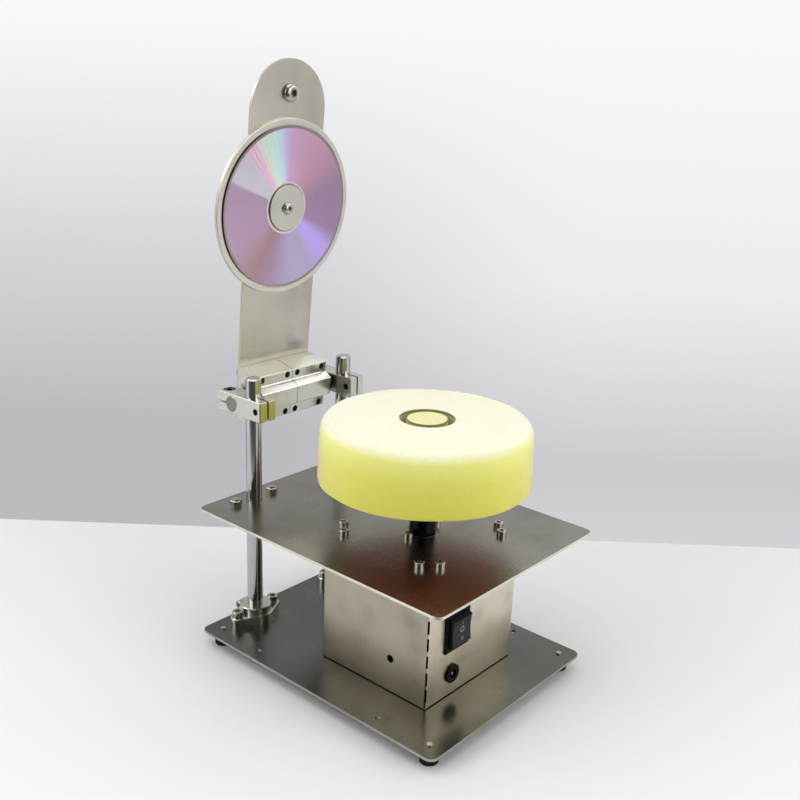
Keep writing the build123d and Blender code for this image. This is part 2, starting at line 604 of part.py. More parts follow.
with BuildPart() as motor_brushes:
    with BuildSketch(Plane(origin=(0, SPINDLE_Y, BRUSH_Z), x_dir=(0, 1, 0), z_dir=(1, 0, 0))):
        Rectangle(BRUSH_W, BRUSH_W)
    extrude(amount=COMMUTATOR_D / 2 + BRUSH_CLEAR + BRUSH_L, both=True)
    bars(SPINDLE.offset(BRUSH_Z - BRUSH_W), CENTRE, COMMUTATOR_D / 2 + BRUSH_CLEAR, 2 * BRUSH_W,
         Mode.SUBTRACT)
motor_brushes.part.label = "motor_brushes"
export_step(motor_brushes.part, "parts/motor_brushes.step")

with BuildPart() as motor_terminals:
    blocks(SPINDLE.offset(END_CAP_Z - TERMINAL_DROP), TERMINALS, TERMINAL_T, TERMINAL_W,
           TERMINAL_DROP + END_CAP_H + END_CAP_PLUG)
motor_terminals.part.label = "motor_terminals"
export_step(motor_terminals.part, "parts/motor_terminals.step")

with BuildPart() as motor_screws:
    cap_screws(SPINDLE.offset(DECK_TOP), MOTOR_SCREWS, M4, M4_SOCKET, MOTOR_SCREW_L)
motor_screws.part.label = "motor_screws"
export_step(motor_screws.part, "parts/motor_screws.step")

# ---------------------------------------------------------------- motor, the part that turns
SHAFT_FOOT = END_CAP_Z + END_CAP_FLOOR + GAP
SHAFT_TIP = ADAPTER_Z + ADAPTER_BORE_L - TIP
with BuildPart() as motor_shaft:
    bars(SPINDLE.offset(SHAFT_FOOT), CENTRE, MOTOR_SHAFT_D / 2, SHAFT_TIP - SHAFT_FOOT)
motor_shaft.part.label = "motor_shaft"
export_step(motor_shaft.part, "parts/motor_shaft.step")

CORE_R = MAGNET_R - MAGNET_T - AIR_GAP
SLOT_R = CORE_R - CORE_SLOT_MOUTH - CORE_SLOT_DEPTH / 2
with BuildPart() as armature_core:
    with BuildSketch(SPINDLE.offset(CORE_Z)):
        Circle(CORE_R)
        Circle(MOTOR_SHAFT_D / 2 + SEAT, mode=Mode.SUBTRACT)
        with PolarLocations(SLOT_R, CORE_SLOTS):
            Rectangle(CORE_SLOT_DEPTH, CORE_SLOT_W, mode=Mode.SUBTRACT)
        with PolarLocations(CORE_R, CORE_SLOTS):
            Rectangle(CORE_SLOT_DEPTH, CORE_SLOT_MOUTH, mode=Mode.SUBTRACT)
    extrude(amount=CORE_H)
armature_core.part.label = "armature_core"
export_step(armature_core.part, "parts/armature_core.step")

with BuildPart() as armature_winding:
    with BuildSketch(SPINDLE.offset(CORE_Z)):
        with PolarLocations(SLOT_R, CORE_SLOTS):
            Rectangle(CORE_SLOT_DEPTH - 2 * SEAT, CORE_SLOT_W - 2 * SEAT)
    extrude(amount=CORE_H)
    for level, height in ((CORE_TOP, WINDING_H), (CORE_Z, -WINDING_H)):
        with BuildSketch(SPINDLE.offset(level)):
            Circle(CORE_R - CORE_SLOT_MOUTH)
            Circle(WINDING_INNER_D / 2, mode=Mode.SUBTRACT)
        extrude(amount=height)
armature_winding.part.label = "armature_winding"
export_step(armature_winding.part, "parts/armature_winding.step")

with BuildPart() as commutator:
    with BuildSketch(SPINDLE.offset(COMMUTATOR_TOP)):
        Circle(COMMUTATOR_D / 2)
        Circle(MOTOR_SHAFT_D / 2 + SEAT, mode=Mode.SUBTRACT)
        with PolarLocations(COMMUTATOR_D / 2, CORE_SLOTS):
            Rectangle(COMMUTATOR_D / 7, CORE_SLOT_MOUTH / 2, mode=Mode.SUBTRACT)
    extrude(amount=-COMMUTATOR_H)
commutator.part.label = "commutator"
export_step(commutator.part, "parts/commutator.step")

# ---------------------------------------------------------------- spindle adapter and pad
SET_SCREW_LEVELS = [ADAPTER_Z + ADAPTER_SCREW_UP + i * ADAPTER_SCREW_PITCH for i in (0, 1)]


def behind(level, distance=0.0):
    """An upright plane behind the spindle's axis, facing back, with its origin at this level."""
    return Plane(origin=(0, SPINDLE_Y + distance, level), x_dir=(1, 0, 0), z_dir=(0, 1, 0))


with BuildPart() as spindle_adapter:
    bars(SPINDLE.offset(ADAPTER_Z), CENTRE, ADAPTER_D / 2, BACKING_Z - ADAPTER_Z)
    chamfer(rim(SPINDLE, ADAPTER_Z), 0.8)
    bars(SPINDLE.offset(BACKING_Z), CENTRE, ADAPTER_STUD_D / 2, BACKING_T)
    bars(SPINDLE.offset(ADAPTER_Z), CENTRE, MOTOR_SHAFT_D / 2 + SEAT, ADAPTER_BORE_L, Mode.SUBTRACT)
    for level in SET_SCREW_LEVELS:
        bars(behind(level), CENTRE, M4 / 2 + SEAT, ADAPTER_D / 2, Mode.SUBTRACT)
spindle_adapter.part.label = "spindle_adapter"
export_step(spindle_adapter.part, "parts/spindle_adapter.step")

with BuildPart() as adapter_set_screws:
    for level in SET_SCREW_LEVELS:
        point = behind(level, MOTOR_SHAFT_D / 2 + SEAT)
        bars(point, CENTRE, M4 / 2, SET_SCREW_L)
        hexagons(point.offset(SET_SCREW_L), CENTRE, SET_SCREW_SOCKET, -SET_SCREW_L / 2, Mode.SUBTRACT)
adapter_set_screws.part.label = "adapter_set_screws"
export_step(adapter_set_screws.part, "parts/adapter_set_screws.step")

with BuildPart() as backing_plate:
    bars(SPINDLE.offset(BACKING_Z), CENTRE, BACKING_D / 2, BACKING_T)
    chamfer(rim(SPINDLE, BACKING_Z), 1.0)
    bars(SPINDLE.offset(BACKING_Z), CENTRE, ADAPTER_STUD_D / 2 + SEAT, BACKING_T, Mode.SUBTRACT)
backing_plate.part.label = "backing_plate"
export_step(backing_plate.part, "parts/backing_plate.step")

with BuildPart() as hook_layer:
    bars(SPINDLE.offset(HOOK_Z), CENTRE, BACKING_D / 2, HOOK_T)
hook_layer.part.label = "hook_layer"
export_step(hook_layer.part, "parts/hook_layer.step")

SECTION = Plane(origin=(0, SPINDLE_Y, 0), x_dir=(1, 0, 0), z_dir=(0, -1, 0))
with BuildPart() as foam_pad:
    with BuildSketch(SECTION):
        with BuildLine():
            edge_foot = (PAD_TOP_D / 2, PAD_Z + PAD_H - PAD_EDGE_H)
            edge_top = (PAD_TOP_D / 2 - PAD_EDGE_IN, PAD_Z + PAD_H)
            Polyline((0, PAD_Z + PAD_H), (0, PAD_Z), (PAD_D / 2, PAD_Z), edge_foot)
            EllipticalCenterArc((edge_top[0], edge_foot[1]), PAD_EDGE_IN, PAD_EDGE_H,
                                start_angle=0, arc_size=90)
            Line(edge_top, (0, PAD_Z + PAD_H))
        make_face()
    revolve(axis=Axis((0, SPINDLE_Y, 0), (0, 0, 1)))
    with BuildSketch(SPINDLE.offset(PAD_Z + PAD_H)):
        Circle(PAD_RING_D / 2)
        Circle(PAD_PLUG_D / 2, mode=Mode.SUBTRACT)
    extrude(amount=-PAD_RING_DEPTH, mode=Mode.SUBTRACT)
foam_pad.part.label = "foam_pad"
export_step(foam_pad.part, "parts/foam_pad.step")

# ---------------------------------------------------------------- rocker switch
SWITCH = [(SWITCH_X, SWITCH_Z)]
PIVOT_Y = SPINDLE_Y - BOX / 2 + PADDLE_PIVOT
# The rocker from its side, in its middle position: x out of the wall, y up, about its pin
PADDLE = Plane(origin=(SWITCH_X, PIVOT_Y, SWITCH_Z), x_dir=(0, -1, 0), z_dir=(-1, 0, 0))
with BuildPart() as switch_housing:
    blocks(FRONT, SWITCH, SWITCH_W, SWITCH_H, SWITCH_BEZEL)
    chamfer(rim(FRONT, SWITCH_BEZEL), 0.7)
    blocks(FRONT, SWITCH, SWITCH_BODY_W, SWITCH_BODY_H, -SWITCH_BODY_DEPTH)
    blocks(FRONT.offset(SWITCH_BEZEL), SWITCH, SWITCH_POCKET_W, SWITCH_POCKET_H,
           -SWITCH_BEZEL - SWITCH_POCKET_DEPTH, Mode.SUBTRACT)
    with BuildSketch(PADDLE):
        Circle(PADDLE_PIN_D / 2 + RUN)
    extrude(amount=SWITCH_POCKET_W / 2 + PADDLE_PIN_END, both=True, mode=Mode.SUBTRACT)
switch_housing.part.label = "switch_housing"
export_step(switch_housing.part, "parts/switch_housing.step")

PADDLE_W = SWITCH_POCKET_W - 2 * GAP
PADDLE_R = sqrt(PADDLE_REACH ** 2 + PADDLE_PROUD ** 2)
with BuildPart() as switch_rocker:
    with BuildSketch(PADDLE):
        with BuildLine():
            back_y = sqrt(PADDLE_R ** 2 - PADDLE_BACK ** 2)
            ThreePointArc((PADDLE_PROUD, -PADDLE_REACH), (PADDLE_DIP, 0), (PADDLE_PROUD, PADDLE_REACH))
            ThreePointArc((PADDLE_PROUD, PADDLE_REACH), (0, PADDLE_R), (-PADDLE_BACK, back_y))
            Polyline((-PADDLE_BACK, back_y), (-PADDLE_KEEL, 0), (-PADDLE_BACK, -back_y))
            ThreePointArc((-PADDLE_BACK, -back_y), (0, -PADDLE_R), (PADDLE_PROUD, -PADDLE_REACH))
        make_face()
    extrude(amount=PADDLE_W / 2, both=True)
    with BuildSketch(PADDLE):
        Circle(PADDLE_PIN_D / 2)
    extrude(amount=SWITCH_POCKET_W / 2 + PADDLE_PIN_END - SEAT, both=True)
switch_rocker.part.label = "switch_rocker"
export_step(switch_rocker.part, "parts/switch_rocker.step")

BLADES = [(SWITCH_X + i * BLADE_X, SWITCH_Z + j * BLADE_UP) for i in (-1, 1) for j in (-1, 1)]
with BuildPart() as switch_terminals:
    blocks(FRONT.offset(-SWITCH_BODY_DEPTH), BLADES, BLADE_T, BLADE_W, -BLADE_L)
switch_terminals.part.label = "switch_terminals"
export_step(switch_terminals.part, "parts/switch_terminals.step")

# ---------------------------------------------------------------- power socket
JACK = [(JACK_X, JACK_Z)]
JACK_OUTER_TAB = [(JACK_X + JACK_TAB_SIDE, JACK_Z)]
with BuildPart() as jack_body:
    bars(FRONT, JACK, JACK_FLANGE_D / 2, JACK_FLANGE)
    chamfer(rim(FRONT, JACK_FLANGE), 0.4)
    bars(FRONT, JACK, JACK_BARREL_D / 2, -JACK_BARREL_L)
    bars(FRONT.offset(JACK_FLANGE), JACK, JACK_BORE_D / 2, -JACK_BORE_L, Mode.SUBTRACT)
    bars(FRONT, JACK, JACK_PIN_D / 2 + SEAT, -JACK_BARREL_L, Mode.SUBTRACT)
jack_body.part.label = "jack_body"
export_step(jack_body.part, "parts/jack_body.step")

with BuildPart() as jack_contacts:
    bars(FRONT.offset(JACK_FLANGE - JACK_PIN_BACK), JACK, JACK_PIN_D / 2,
         JACK_PIN_BACK - JACK_FLANGE - JACK_BARREL_L)
    blocks(FRONT.offset(-JACK_BARREL_L), JACK + JACK_OUTER_TAB, JACK_TAB_W, JACK_TAB_T, -JACK_TAB_L)
jack_contacts.part.label = "jack_contacts"
export_step(jack_contacts.part, "parts/jack_contacts.step")

with BuildPart() as jack_nut:
    hexagons(FRONT.offset(-SHEET), JACK, JACK_NUT, -JACK_NUT_H)
    bars(FRONT.offset(-SHEET), JACK, JACK_BARREL_D / 2 + SEAT, -JACK_NUT_H, Mode.SUBTRACT)
jack_nut.part.label = "jack_nut"
export_step(jack_nut.part, "parts/jack_nut.step")

# ---------------------------------------------------------------- leads inside the box
TAB_Y = SPINDLE_Y - BOX / 2 + JACK_BARREL_L + JACK_TAB_L
BLADE_FOOT = SWITCH_Z - BLADE_UP - BLADE_W / 2
BLADE_Y = SPINDLE_Y - BOX / 2 + SWITCH_BODY_DEPTH + BLADE_L - LEAD_D
LEAD_Z = END_CAP_Z - TERMINAL_DROP - LEAD_DROP
to_switch = [(JACK_X, TAB_Y, JACK_Z), (JACK_X, TAB_Y + LEAD_REACH, JACK_Z),
             (SWITCH_X - BLADE_X, BLADE_Y, JACK_Z + LEAD_REACH), (SWITCH_X - BLADE_X, BLADE_Y, BLADE_FOOT)]
to_left = [(SWITCH_X + BLADE_X, BLADE_Y, BLADE_FOOT), (SWITCH_X + BLADE_X, BLADE_Y, LEAD_Z + LEAD_D),
           (-TERMINAL_X, SPINDLE_Y, LEAD_Z), (-TERMINAL_X, SPINDLE_Y, END_CAP_Z - TERMINAL_DROP)]
to_right = [(JACK_X + JACK_TAB_SIDE, TAB_Y, JACK_Z), (JACK_X + JACK_TAB_SIDE, TAB_Y + LEAD_REACH, JACK_Z),
            (TERMINAL_X, SPINDLE_Y, LEAD_Z), (TERMINAL_X, SPINDLE_Y, END_CAP_Z - TERMINAL_DROP)]
with BuildPart() as inner_leads:
    for route in (to_switch, to_left, to_right):
        with BuildLine() as path:
            FilletPolyline(*route, radius=LEAD_R)
        with BuildSketch(path.line ^ 0) as end:
            Circle(LEAD_D / 2)
        sweep(end.sketch, path=path.line)
inner_leads.part.label = "inner_leads"
export_step(inner_leads.part, "parts/inner_leads.step")

# ---------------------------------------------------------------- cross clamps and cross shaft
CLAMP_MID_Y = SHAFT_Y - CLAMP_FRONT + CLAMP_L / 2
CLAMP_FACES = [i * SHAFT_X + CLAMP_W / 2 for i in (-1, 1)]
FRONT_SCREW_Y = SHAFT_Y - CLAMP_FRONT_SCREW
BACK_SCREW_Y = CROSS_Y + CLAMP_BACK_SCREW


def across(x):
    """An upright plane that faces +X: its own x is +Y and its own y is +Z."""
    return Plane(origin=(x, 0, 0), x_dir=(0, 1, 0), z_dir=(1, 0, 0))


for side, (x, y), face in zip(("left", "right"), SHAFTS, CLAMP_FACES):
    with BuildPart() as cross_clamp:
        blocks(across(face), [(CLAMP_MID_Y, CROSS_Z)], CLAMP_L, CLAMP_H, -CLAMP_W)
        chamfer(cross_clamp.edges(), CLAMP_EDGE)
        low = Plane.XY.offset(CROSS_Z - CLAMP_H / 2)
        bars(low, [(x, y)], SHAFT_D / 2 + RUN, CLAMP_H, Mode.SUBTRACT)
        bars(across(face), [(CROSS_Y, CROSS_Z)], SHAFT_D / 2 + SEAT, -CLAMP_W, Mode.SUBTRACT)
        blocks(low, [(x, y - CLAMP_FRONT / 2)], CLAMP_SLIT, CLAMP_FRONT, CLAMP_H, Mode.SUBTRACT)
        back_slit = CLAMP_L - CLAMP_FRONT - CROSS_BACK
        blocks(across(face), [(CROSS_Y + back_slit / 2, CROSS_Z)], back_slit, CLAMP_SLIT, -CLAMP_W,
               Mode.SUBTRACT)
        bars(across(face), [(FRONT_SCREW_Y, CROSS_Z)], M5 / 2 + SEAT, -CLAMP_W, Mode.SUBTRACT)
        bars(across(face), [(FRONT_SCREW_Y, CROSS_Z)], CLAMP_SINK_D / 2, -CLAMP_SINK, Mode.SUBTRACT)
        bars(low, [(x, BACK_SCREW_Y)], M5 / 2 + SEAT, CLAMP_H, Mode.SUBTRACT)
        bars(low.offset(CLAMP_H), [(x, BACK_SCREW_Y)], CLAMP_SINK_D / 2, -CLAMP_SINK, Mode.SUBTRACT)
    cross_clamp.part.label = f"cross_clamp_{side}"
    export_step(cross_clamp.part, f"parts/cross_clamp_{side}.step")

with BuildPart() as clamp_screws:
    for face in CLAMP_FACES:
        cap_screws(across(face - CLAMP_SINK), [(FRONT_SCREW_Y, CROSS_Z)], M5, M5_SOCKET, CLAMP_SCREW_L)
    cap_screws(Plane.XY.offset(CROSS_Z + CLAMP_H / 2 - CLAMP_SINK), [(x, BACK_SCREW_Y) for x, y in SHAFTS],
               M5, M5_SOCKET, CLAMP_SCREW_L)
clamp_screws.part.label = "clamp_screws"
export_step(clamp_screws.part, "parts/clamp_screws.step")

CROSS_HALF = SHAFT_X + CLAMP_W / 2
with BuildPart() as cross_shaft:
    bars(across(-CROSS_HALF), [(CROSS_Y, CROSS_Z)], SHAFT_D / 2, 2 * CROSS_HALF)
    chamfer(cross_shaft.edges().filter_by(GeomType.CIRCLE), 0.5)
cross_shaft.part.label = "cross_shaft"
export_step(cross_shaft.part, "parts/cross_shaft.step")


# ---------------------------------------------------------------- bearing blocks
def arm_side(x):
    """Beside the arm, facing -X: its own x is out of the arm's front, its own y is up the arm."""
    return Plane(origin=(x, CROSS_Y, CROSS_Z), x_dir=ARM.z_dir, z_dir=(-1, 0, 0))


half_profile = [(-BLOCK_BACK, BLOCK_H / 2), (BLOCK_FLANGE - BLOCK_BACK, BLOCK_H / 2),
                (BLOCK_EAR, BLOCK_EAR_H / 2), (BLOCK_EAR, BLOCK_NECK_H / 2),
                (BLOCK_CROWN, BLOCK_CROWN_H / 2)]
for side, mid in (("left", -BLOCK_PITCH / 2), ("right", BLOCK_PITCH / 2)):
    with BuildPart() as bearing_block:
        with BuildSketch(arm_side(mid)):
            with BuildLine():
                Polyline(*half_profile, *[(d, -h) for d, h in reversed(half_profile)], close=True)
            make_face()
        extrude(amount=BLOCK_L / 2, both=True)
        chamfer(bearing_block.edges().filter_by(Axis.X), 0.4)
        with BuildSketch(arm_side(mid)):
            Circle(SLEEVE_D / 2 + RUN)
        extrude(amount=BLOCK_L / 2, both=True, mode=Mode.SUBTRACT)
        for sense in (-1, 1):
            groove = mid + sense * (SLEEVE_L / 2 + GAP + CLIP_GROOVE / 2)
            with BuildSketch(arm_side(groove)):
                Circle(CLIP_OUTER_D / 2 + RUN)
            extrude(amount=CLIP_GROOVE / 2, both=True, mode=Mode.SUBTRACT)
        holes = [(mid + i * BLOCK_HOLE_X, j * BLOCK_HOLE_U) for i in (-1, 1) for j in (-1, 1)]
        bars(ARM_FRONT, holes, M5 / 2 + SEAT, BLOCK_BACK + BLOCK_EAR + 1, Mode.SUBTRACT)
    bearing_block.part.label = f"bearing_block_{side}"
    export_step(bearing_block.part, f"parts/bearing_block_{side}.step")

    with BuildPart() as linear_bearing:
        with BuildSketch(arm_side(mid)):
            Circle(SLEEVE_D / 2)
        extrude(amount=SLEEVE_L / 2, both=True)
        chamfer(linear_bearing.edges().filter_by(GeomType.CIRCLE), 0.5)
        with BuildSketch(arm_side(mid)):
            Circle(SHAFT_D / 2 + RUN)
        extrude(amount=SLEEVE_L / 2, both=True, mode=Mode.SUBTRACT)
    linear_bearing.part.label = f"linear_bearing_{side}"
    export_step(linear_bearing.part, f"parts/linear_bearing_{side}.step")

with BuildPart() as bearing_clips:
    for mid in (-BLOCK_PITCH / 2, BLOCK_PITCH / 2):
        for sense in (-1, 1):
            with BuildSketch(arm_side(mid + sense * (SLEEVE_L / 2 + GAP + CLIP_GROOVE / 2))):
                Circle(CLIP_OUTER_D / 2)
                Circle(CLIP_INNER_D / 2, mode=Mode.SUBTRACT)
                with Locations((CLIP_OUTER_D / 2, 0)):
                    Rectangle(CLIP_OUTER_D / 2, CLIP_MOUTH, mode=Mode.SUBTRACT)
            extrude(amount=CLIP_T / 2, both=True)
bearing_clips.part.label = "bearing_clips"
export_step(bearing_clips.part, "parts/bearing_clips.step")

# ---------------------------------------------------------------- arm plate
with BuildPart() as arm_plate:
    with BuildSketch(ARM_BACK) as blade:
        with Locations((0, (ARM_L - ARM_TAIL) / 2)):
            Rectangle(ARM_W, ARM_L + ARM_TAIL)
        fillet(blade.vertices().sort_by(Axis.Z)[:2], ARM_CORNER)
        with Locations((0, ARM_L)):
            Circle(ARM_W / 2)
    extrude(amount=ARM_T)
    bars(ARM_BACK, BLOCK_SCREWS, M5 / 2 + PASS, ARM_T, Mode.SUBTRACT)
    bars(ARM_BACK, HUB, M5 / 2 + PASS, ARM_T, Mode.SUBTRACT)
    bars(ARM_BACK, TRAY_SCREWS, M3 / 2 + SEAT, ARM_T, Mode.SUBTRACT)
    bars(ARM_BACK, [(0, KNOB_U)], M8 / 2 + PASS, ARM_T, Mode.SUBTRACT)
arm_plate.part.label = "arm_plate"
export_step(arm_plate.part, "parts/arm_plate.step")

ARM_REAR = Plane(origin=ARM_BACK.origin, x_dir=(-1, 0, 0), z_dir=-ARM_BACK.z_dir)
with BuildPart() as block_screws:
    button_screws(ARM_REAR, mirrored(BLOCK_SCREWS), M5, M5_BUTTON_D, M5_BUTTON_H, M5_BUTTON_SOCKET,
                  BLOCK_SCREW_L)
block_screws.part.label = "block_screws"
export_step(block_screws.part, "parts/block_screws.step")

# ---------------------------------------------------------------- disc tray and what is in it
with BuildPart() as disc_tray:
    bars(ARM_FRONT, HUB, TRAY_D / 2, TRAY_H)
    fillet(rim(ARM_FRONT, TRAY_H), TRAY_EDGE)
    bars(TRAY_SEAT, HUB, TRAY_RIM_D / 2, TRAY_H - TRAY_FLOOR, Mode.SUBTRACT)
    bars(ARM_FRONT, HUB, M5 / 2 + PASS, TRAY_H, Mode.SUBTRACT)
    with Locations(TRAY_SEAT):
        with Locations(*TRAY_SCREWS):
            CounterSinkHole(M3 / 2 + SEAT, TRAY_SCREW_HEAD_D / 2 + SEAT, TRAY_FLOOR, 90)
disc_tray.part.label = "disc_tray"
export_step(disc_tray.part, "parts/disc_tray.step")

with BuildPart() as tray_screws:
    head_h = (TRAY_SCREW_HEAD_D - M3) / 2
    with BuildSketch(TRAY_SEAT):
        with Locations(*TRAY_SCREWS):
            Circle(TRAY_SCREW_HEAD_D / 2)
    extrude(amount=-head_h, taper=45)
    bars(TRAY_SEAT.offset(-head_h), TRAY_SCREWS, M3 / 2, head_h - TRAY_SCREW_L)
tray_screws.part.label = "tray_screws"
export_step(tray_screws.part, "parts/tray_screws.step")

with BuildPart() as disc_mat:
    bars(TRAY_SEAT, HUB, MAT_D / 2, MAT_T)
    bars(TRAY_SEAT, HUB, DISC_HOLE_D / 2, MAT_T, Mode.SUBTRACT)
disc_mat.part.label = "disc_mat"
export_step(disc_mat.part, "parts/disc_mat.step")

with BuildPart() as disc:
    bars(DISC_BACK, HUB, DISC_D / 2, DISC_T)
    bars(DISC_BACK, HUB, DISC_HOLE_D / 2, DISC_T, Mode.SUBTRACT)
disc.part.label = "disc"
export_step(disc.part, "parts/disc.step")

with BuildPart() as hub_washer:
    bars(DISC_FACE, HUB, HUB_D / 2, HUB_T)
    fillet(rim(DISC_FACE, HUB_T), HUB_EDGE)
    bars(TRAY_SEAT, HUB, HUB_SPIGOT_D / 2, MAT_T + DISC_T)
    bars(TRAY_SEAT, HUB, M5 / 2 + SEAT, MAT_T + DISC_T + HUB_T, Mode.SUBTRACT)
hub_washer.part.label = "hub_washer"
export_step(hub_washer.part, "parts/hub_washer.step")

HUB_STACK = HUB_T + DISC_T + MAT_T + TRAY_FLOOR + ARM_T
with BuildPart() as hub_screw:
    button_screws(HUB_FACE, HUB, M5, M5_BUTTON_D, M5_BUTTON_H, M5_BUTTON_SOCKET, HUB_STACK + M5_NUT_H + TIP)
hub_screw.part.label = "hub_screw"
export_step(hub_screw.part, "parts/hub_screw.step")

with BuildPart() as hub_nut:
    nuts(ARM_REAR, HUB, M5, M5_NUT, M5_NUT_H)
hub_nut.part.label = "hub_nut"
export_step(hub_nut.part, "parts/hub_nut.step")

# ---------------------------------------------------------------- knob behind the arm's top
with BuildPart() as knob:
    bars(ARM_REAR, [(0, KNOB_U)], KNOB_D / 2, KNOB_L)
    fillet(rim(ARM_REAR, KNOB_L), KNOB_ROUND)
    bars(ARM_REAR, [(0, KNOB_U)], M8 / 2 + SEAT, KNOB_BORE_L, Mode.SUBTRACT)
knob.part.label = "knob"
export_step(knob.part, "parts/knob.step")

with BuildPart() as knob_screw:
    button_screws(ARM_FRONT, [(0, KNOB_U)], M8, M8_BUTTON_D, M8_BUTTON_H, M8_BUTTON_SOCKET, KNOB_SCREW_L)
knob_screw.part.label = "knob_screw"
export_step(knob_screw.part, "parts/knob_screw.step")
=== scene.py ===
# %% [markdown]
# # A disc repair machine, dressed
#
# The machine is a workshop tool: a motor in a folded steel box turns a lemon-yellow foam pad, and a
# hinged arm holds a disc that folds down over it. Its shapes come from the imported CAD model. This
# lesson loads that model as a fixed frame and gives each surface the finish of the real one. We
# build new meshes only where a rigid CAD solid can't look right: the foam, the hook tape under it,
# the pale marks on the switch and the bearings' rubber seals.

# %% Load the frame
import json
import math

import bmesh
import bpy
from mathutils import Matrix, Vector, noise


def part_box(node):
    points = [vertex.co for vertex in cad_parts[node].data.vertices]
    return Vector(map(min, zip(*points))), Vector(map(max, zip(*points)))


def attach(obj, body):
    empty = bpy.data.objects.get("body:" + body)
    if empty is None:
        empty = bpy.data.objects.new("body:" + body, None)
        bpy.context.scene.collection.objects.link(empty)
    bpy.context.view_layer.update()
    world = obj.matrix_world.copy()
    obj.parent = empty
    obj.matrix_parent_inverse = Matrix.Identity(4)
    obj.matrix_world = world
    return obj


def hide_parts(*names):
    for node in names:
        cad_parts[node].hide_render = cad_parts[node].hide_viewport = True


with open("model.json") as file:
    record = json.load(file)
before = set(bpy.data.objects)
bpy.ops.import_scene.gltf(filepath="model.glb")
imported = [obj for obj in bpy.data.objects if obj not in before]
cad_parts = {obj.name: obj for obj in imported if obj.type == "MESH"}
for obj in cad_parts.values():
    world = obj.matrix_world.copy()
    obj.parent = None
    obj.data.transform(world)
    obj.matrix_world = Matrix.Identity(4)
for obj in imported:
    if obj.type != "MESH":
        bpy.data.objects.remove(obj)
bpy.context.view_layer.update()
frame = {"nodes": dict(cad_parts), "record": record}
MM = 0.001

# %% [markdown]
# ## The camera
#
# The photographer stood at the machine's left front corner and looked down a little. We found the
# place of the lens from the plates' edges, the box and the shafts, and write it here as a position,
# a heading, a tilt and a slight roll. An alternative is to aim the camera at an empty with a
# constraint, but that can't hold a roll, so we build the rotation from its three axes.

# %% Camera position and axes
LENS_AT = Vector((-0.52155, -0.46016, 0.42623))
HEADING = math.radians(49.46)
TILT = math.radians(-17.73)
ROLL = math.radians(2.14)
FOCAL_PIXELS = 1016
FRAME_PIXELS = 800

forward = Vector((
    math.sin(HEADING) * math.cos(TILT), math.cos(HEADING) * math.cos(TILT), math.sin(TILT)
))
level_right = Vector((math.cos(HEADING), -math.sin(HEADING), 0))
level_up = level_right.cross(forward)
right = level_right * math.cos(ROLL) + level_up * math.sin(ROLL)
up = level_up * math.cos(ROLL) - level_right * math.sin(ROLL)
print("looking along", [round(c, 3) for c in forward])

# %% Make the camera
camera_data = bpy.data.cameras.new("camera")
camera_data.sensor_width = 36
camera_data.lens = FOCAL_PIXELS / FRAME_PIXELS * camera_data.sensor_width
camera_data.clip_start = 0.01
camera = bpy.data.objects.new("camera", camera_data)
bpy.context.scene.collection.objects.link(camera)
axes = Matrix((right, up, -forward)).transposed().to_4x4()
camera.matrix_world = Matrix.Translation(LENS_AT) @ axes
bpy.context.scene.camera = camera
bpy.context.scene.view_settings.view_transform = "Standard"
print("lens", round(camera_data.lens, 2), "mm")

# %% [markdown]
# ## Small tools for shader nodes
#
# Each finish is a node tree: coordinates, a texture or two, and the Principled shader. Wiring them
# by hand takes many lines, so one helper makes a node, sets its values, and links any socket that
# is handed to it. Object coordinates suit CAD meshes, which have no UV map: they are in metres and
# travel with the piece.

# %% A helper that makes and links one node
def node(mat, kind, settings=None, **inputs):
    """A shader node. An input is a value or a socket; _0, _1 name inputs by number."""
    made = mat.node_tree.nodes.new("ShaderNode" + kind)
    for key, value in (settings or {}).items():
        setattr(made, key, value)
    for key, value in inputs.items():
        plug = made.inputs[int(key[1:])] if key[0] == "_" else made.inputs[key.replace("_", " ")]
        if isinstance(value, bpy.types.NodeSocket):
            mat.node_tree.links.new(value, plug)
        else:
            plug.default_value = value
    return made


# %% A helper that starts a finish
def srgb(r, g, b):
    """A colour as a picture gives it, 0 to 255, turned into the linear values of a shader."""
    return tuple((c / 255 / 12.92) if c < 10 else ((c / 255 + 0.055) / 1.055) ** 2.4
                 for c in (r, g, b))


def finish(name, colour, rough, metallic=0.0, **sockets):
    """A material with plain values on its Principled shader."""
    mat = bpy.data.materials.new(name)
    mat.use_nodes = True
    shader = mat.node_tree.nodes["Principled BSDF"]
    shader.inputs["Base Color"].default_value = (*colour, 1)
    shader.inputs["Roughness"].default_value = rough
    shader.inputs["Metallic"].default_value = metallic
    for key, value in sockets.items():
        shader.inputs[key.replace("_", " ")].default_value = value
    return mat


def shader_of(mat):
    """The Principled shader of a finish."""
    return mat.node_tree.nodes["Principled BSDF"]


# %% Helpers for texture: where, how rough, which colours
def place_on(mat):
    """Object coordinates in metres."""
    return node(mat, "TexCoord").outputs["Object"]


def stretched(mat, scale=(1, 1, 1)):
    """Object coordinates, scaled along each axis."""
    return node(mat, "Mapping", Vector=place_on(mat), Scale=scale).outputs[0]


def along(mat, vector, axis):
    """How far a vector reaches along an axis."""
    return node(mat, "VectorMath", {"operation": "DOT_PRODUCT"}, _0=vector,
                _1=tuple(axis)).outputs["Value"]


def speckle(mat, vector, scale, detail=3.0, rough=0.5):
    """Cloudy noise from 0 to 1."""
    return node(mat, "TexNoise", Vector=vector, Scale=scale, Detail=detail,
                Roughness=rough).outputs[0]


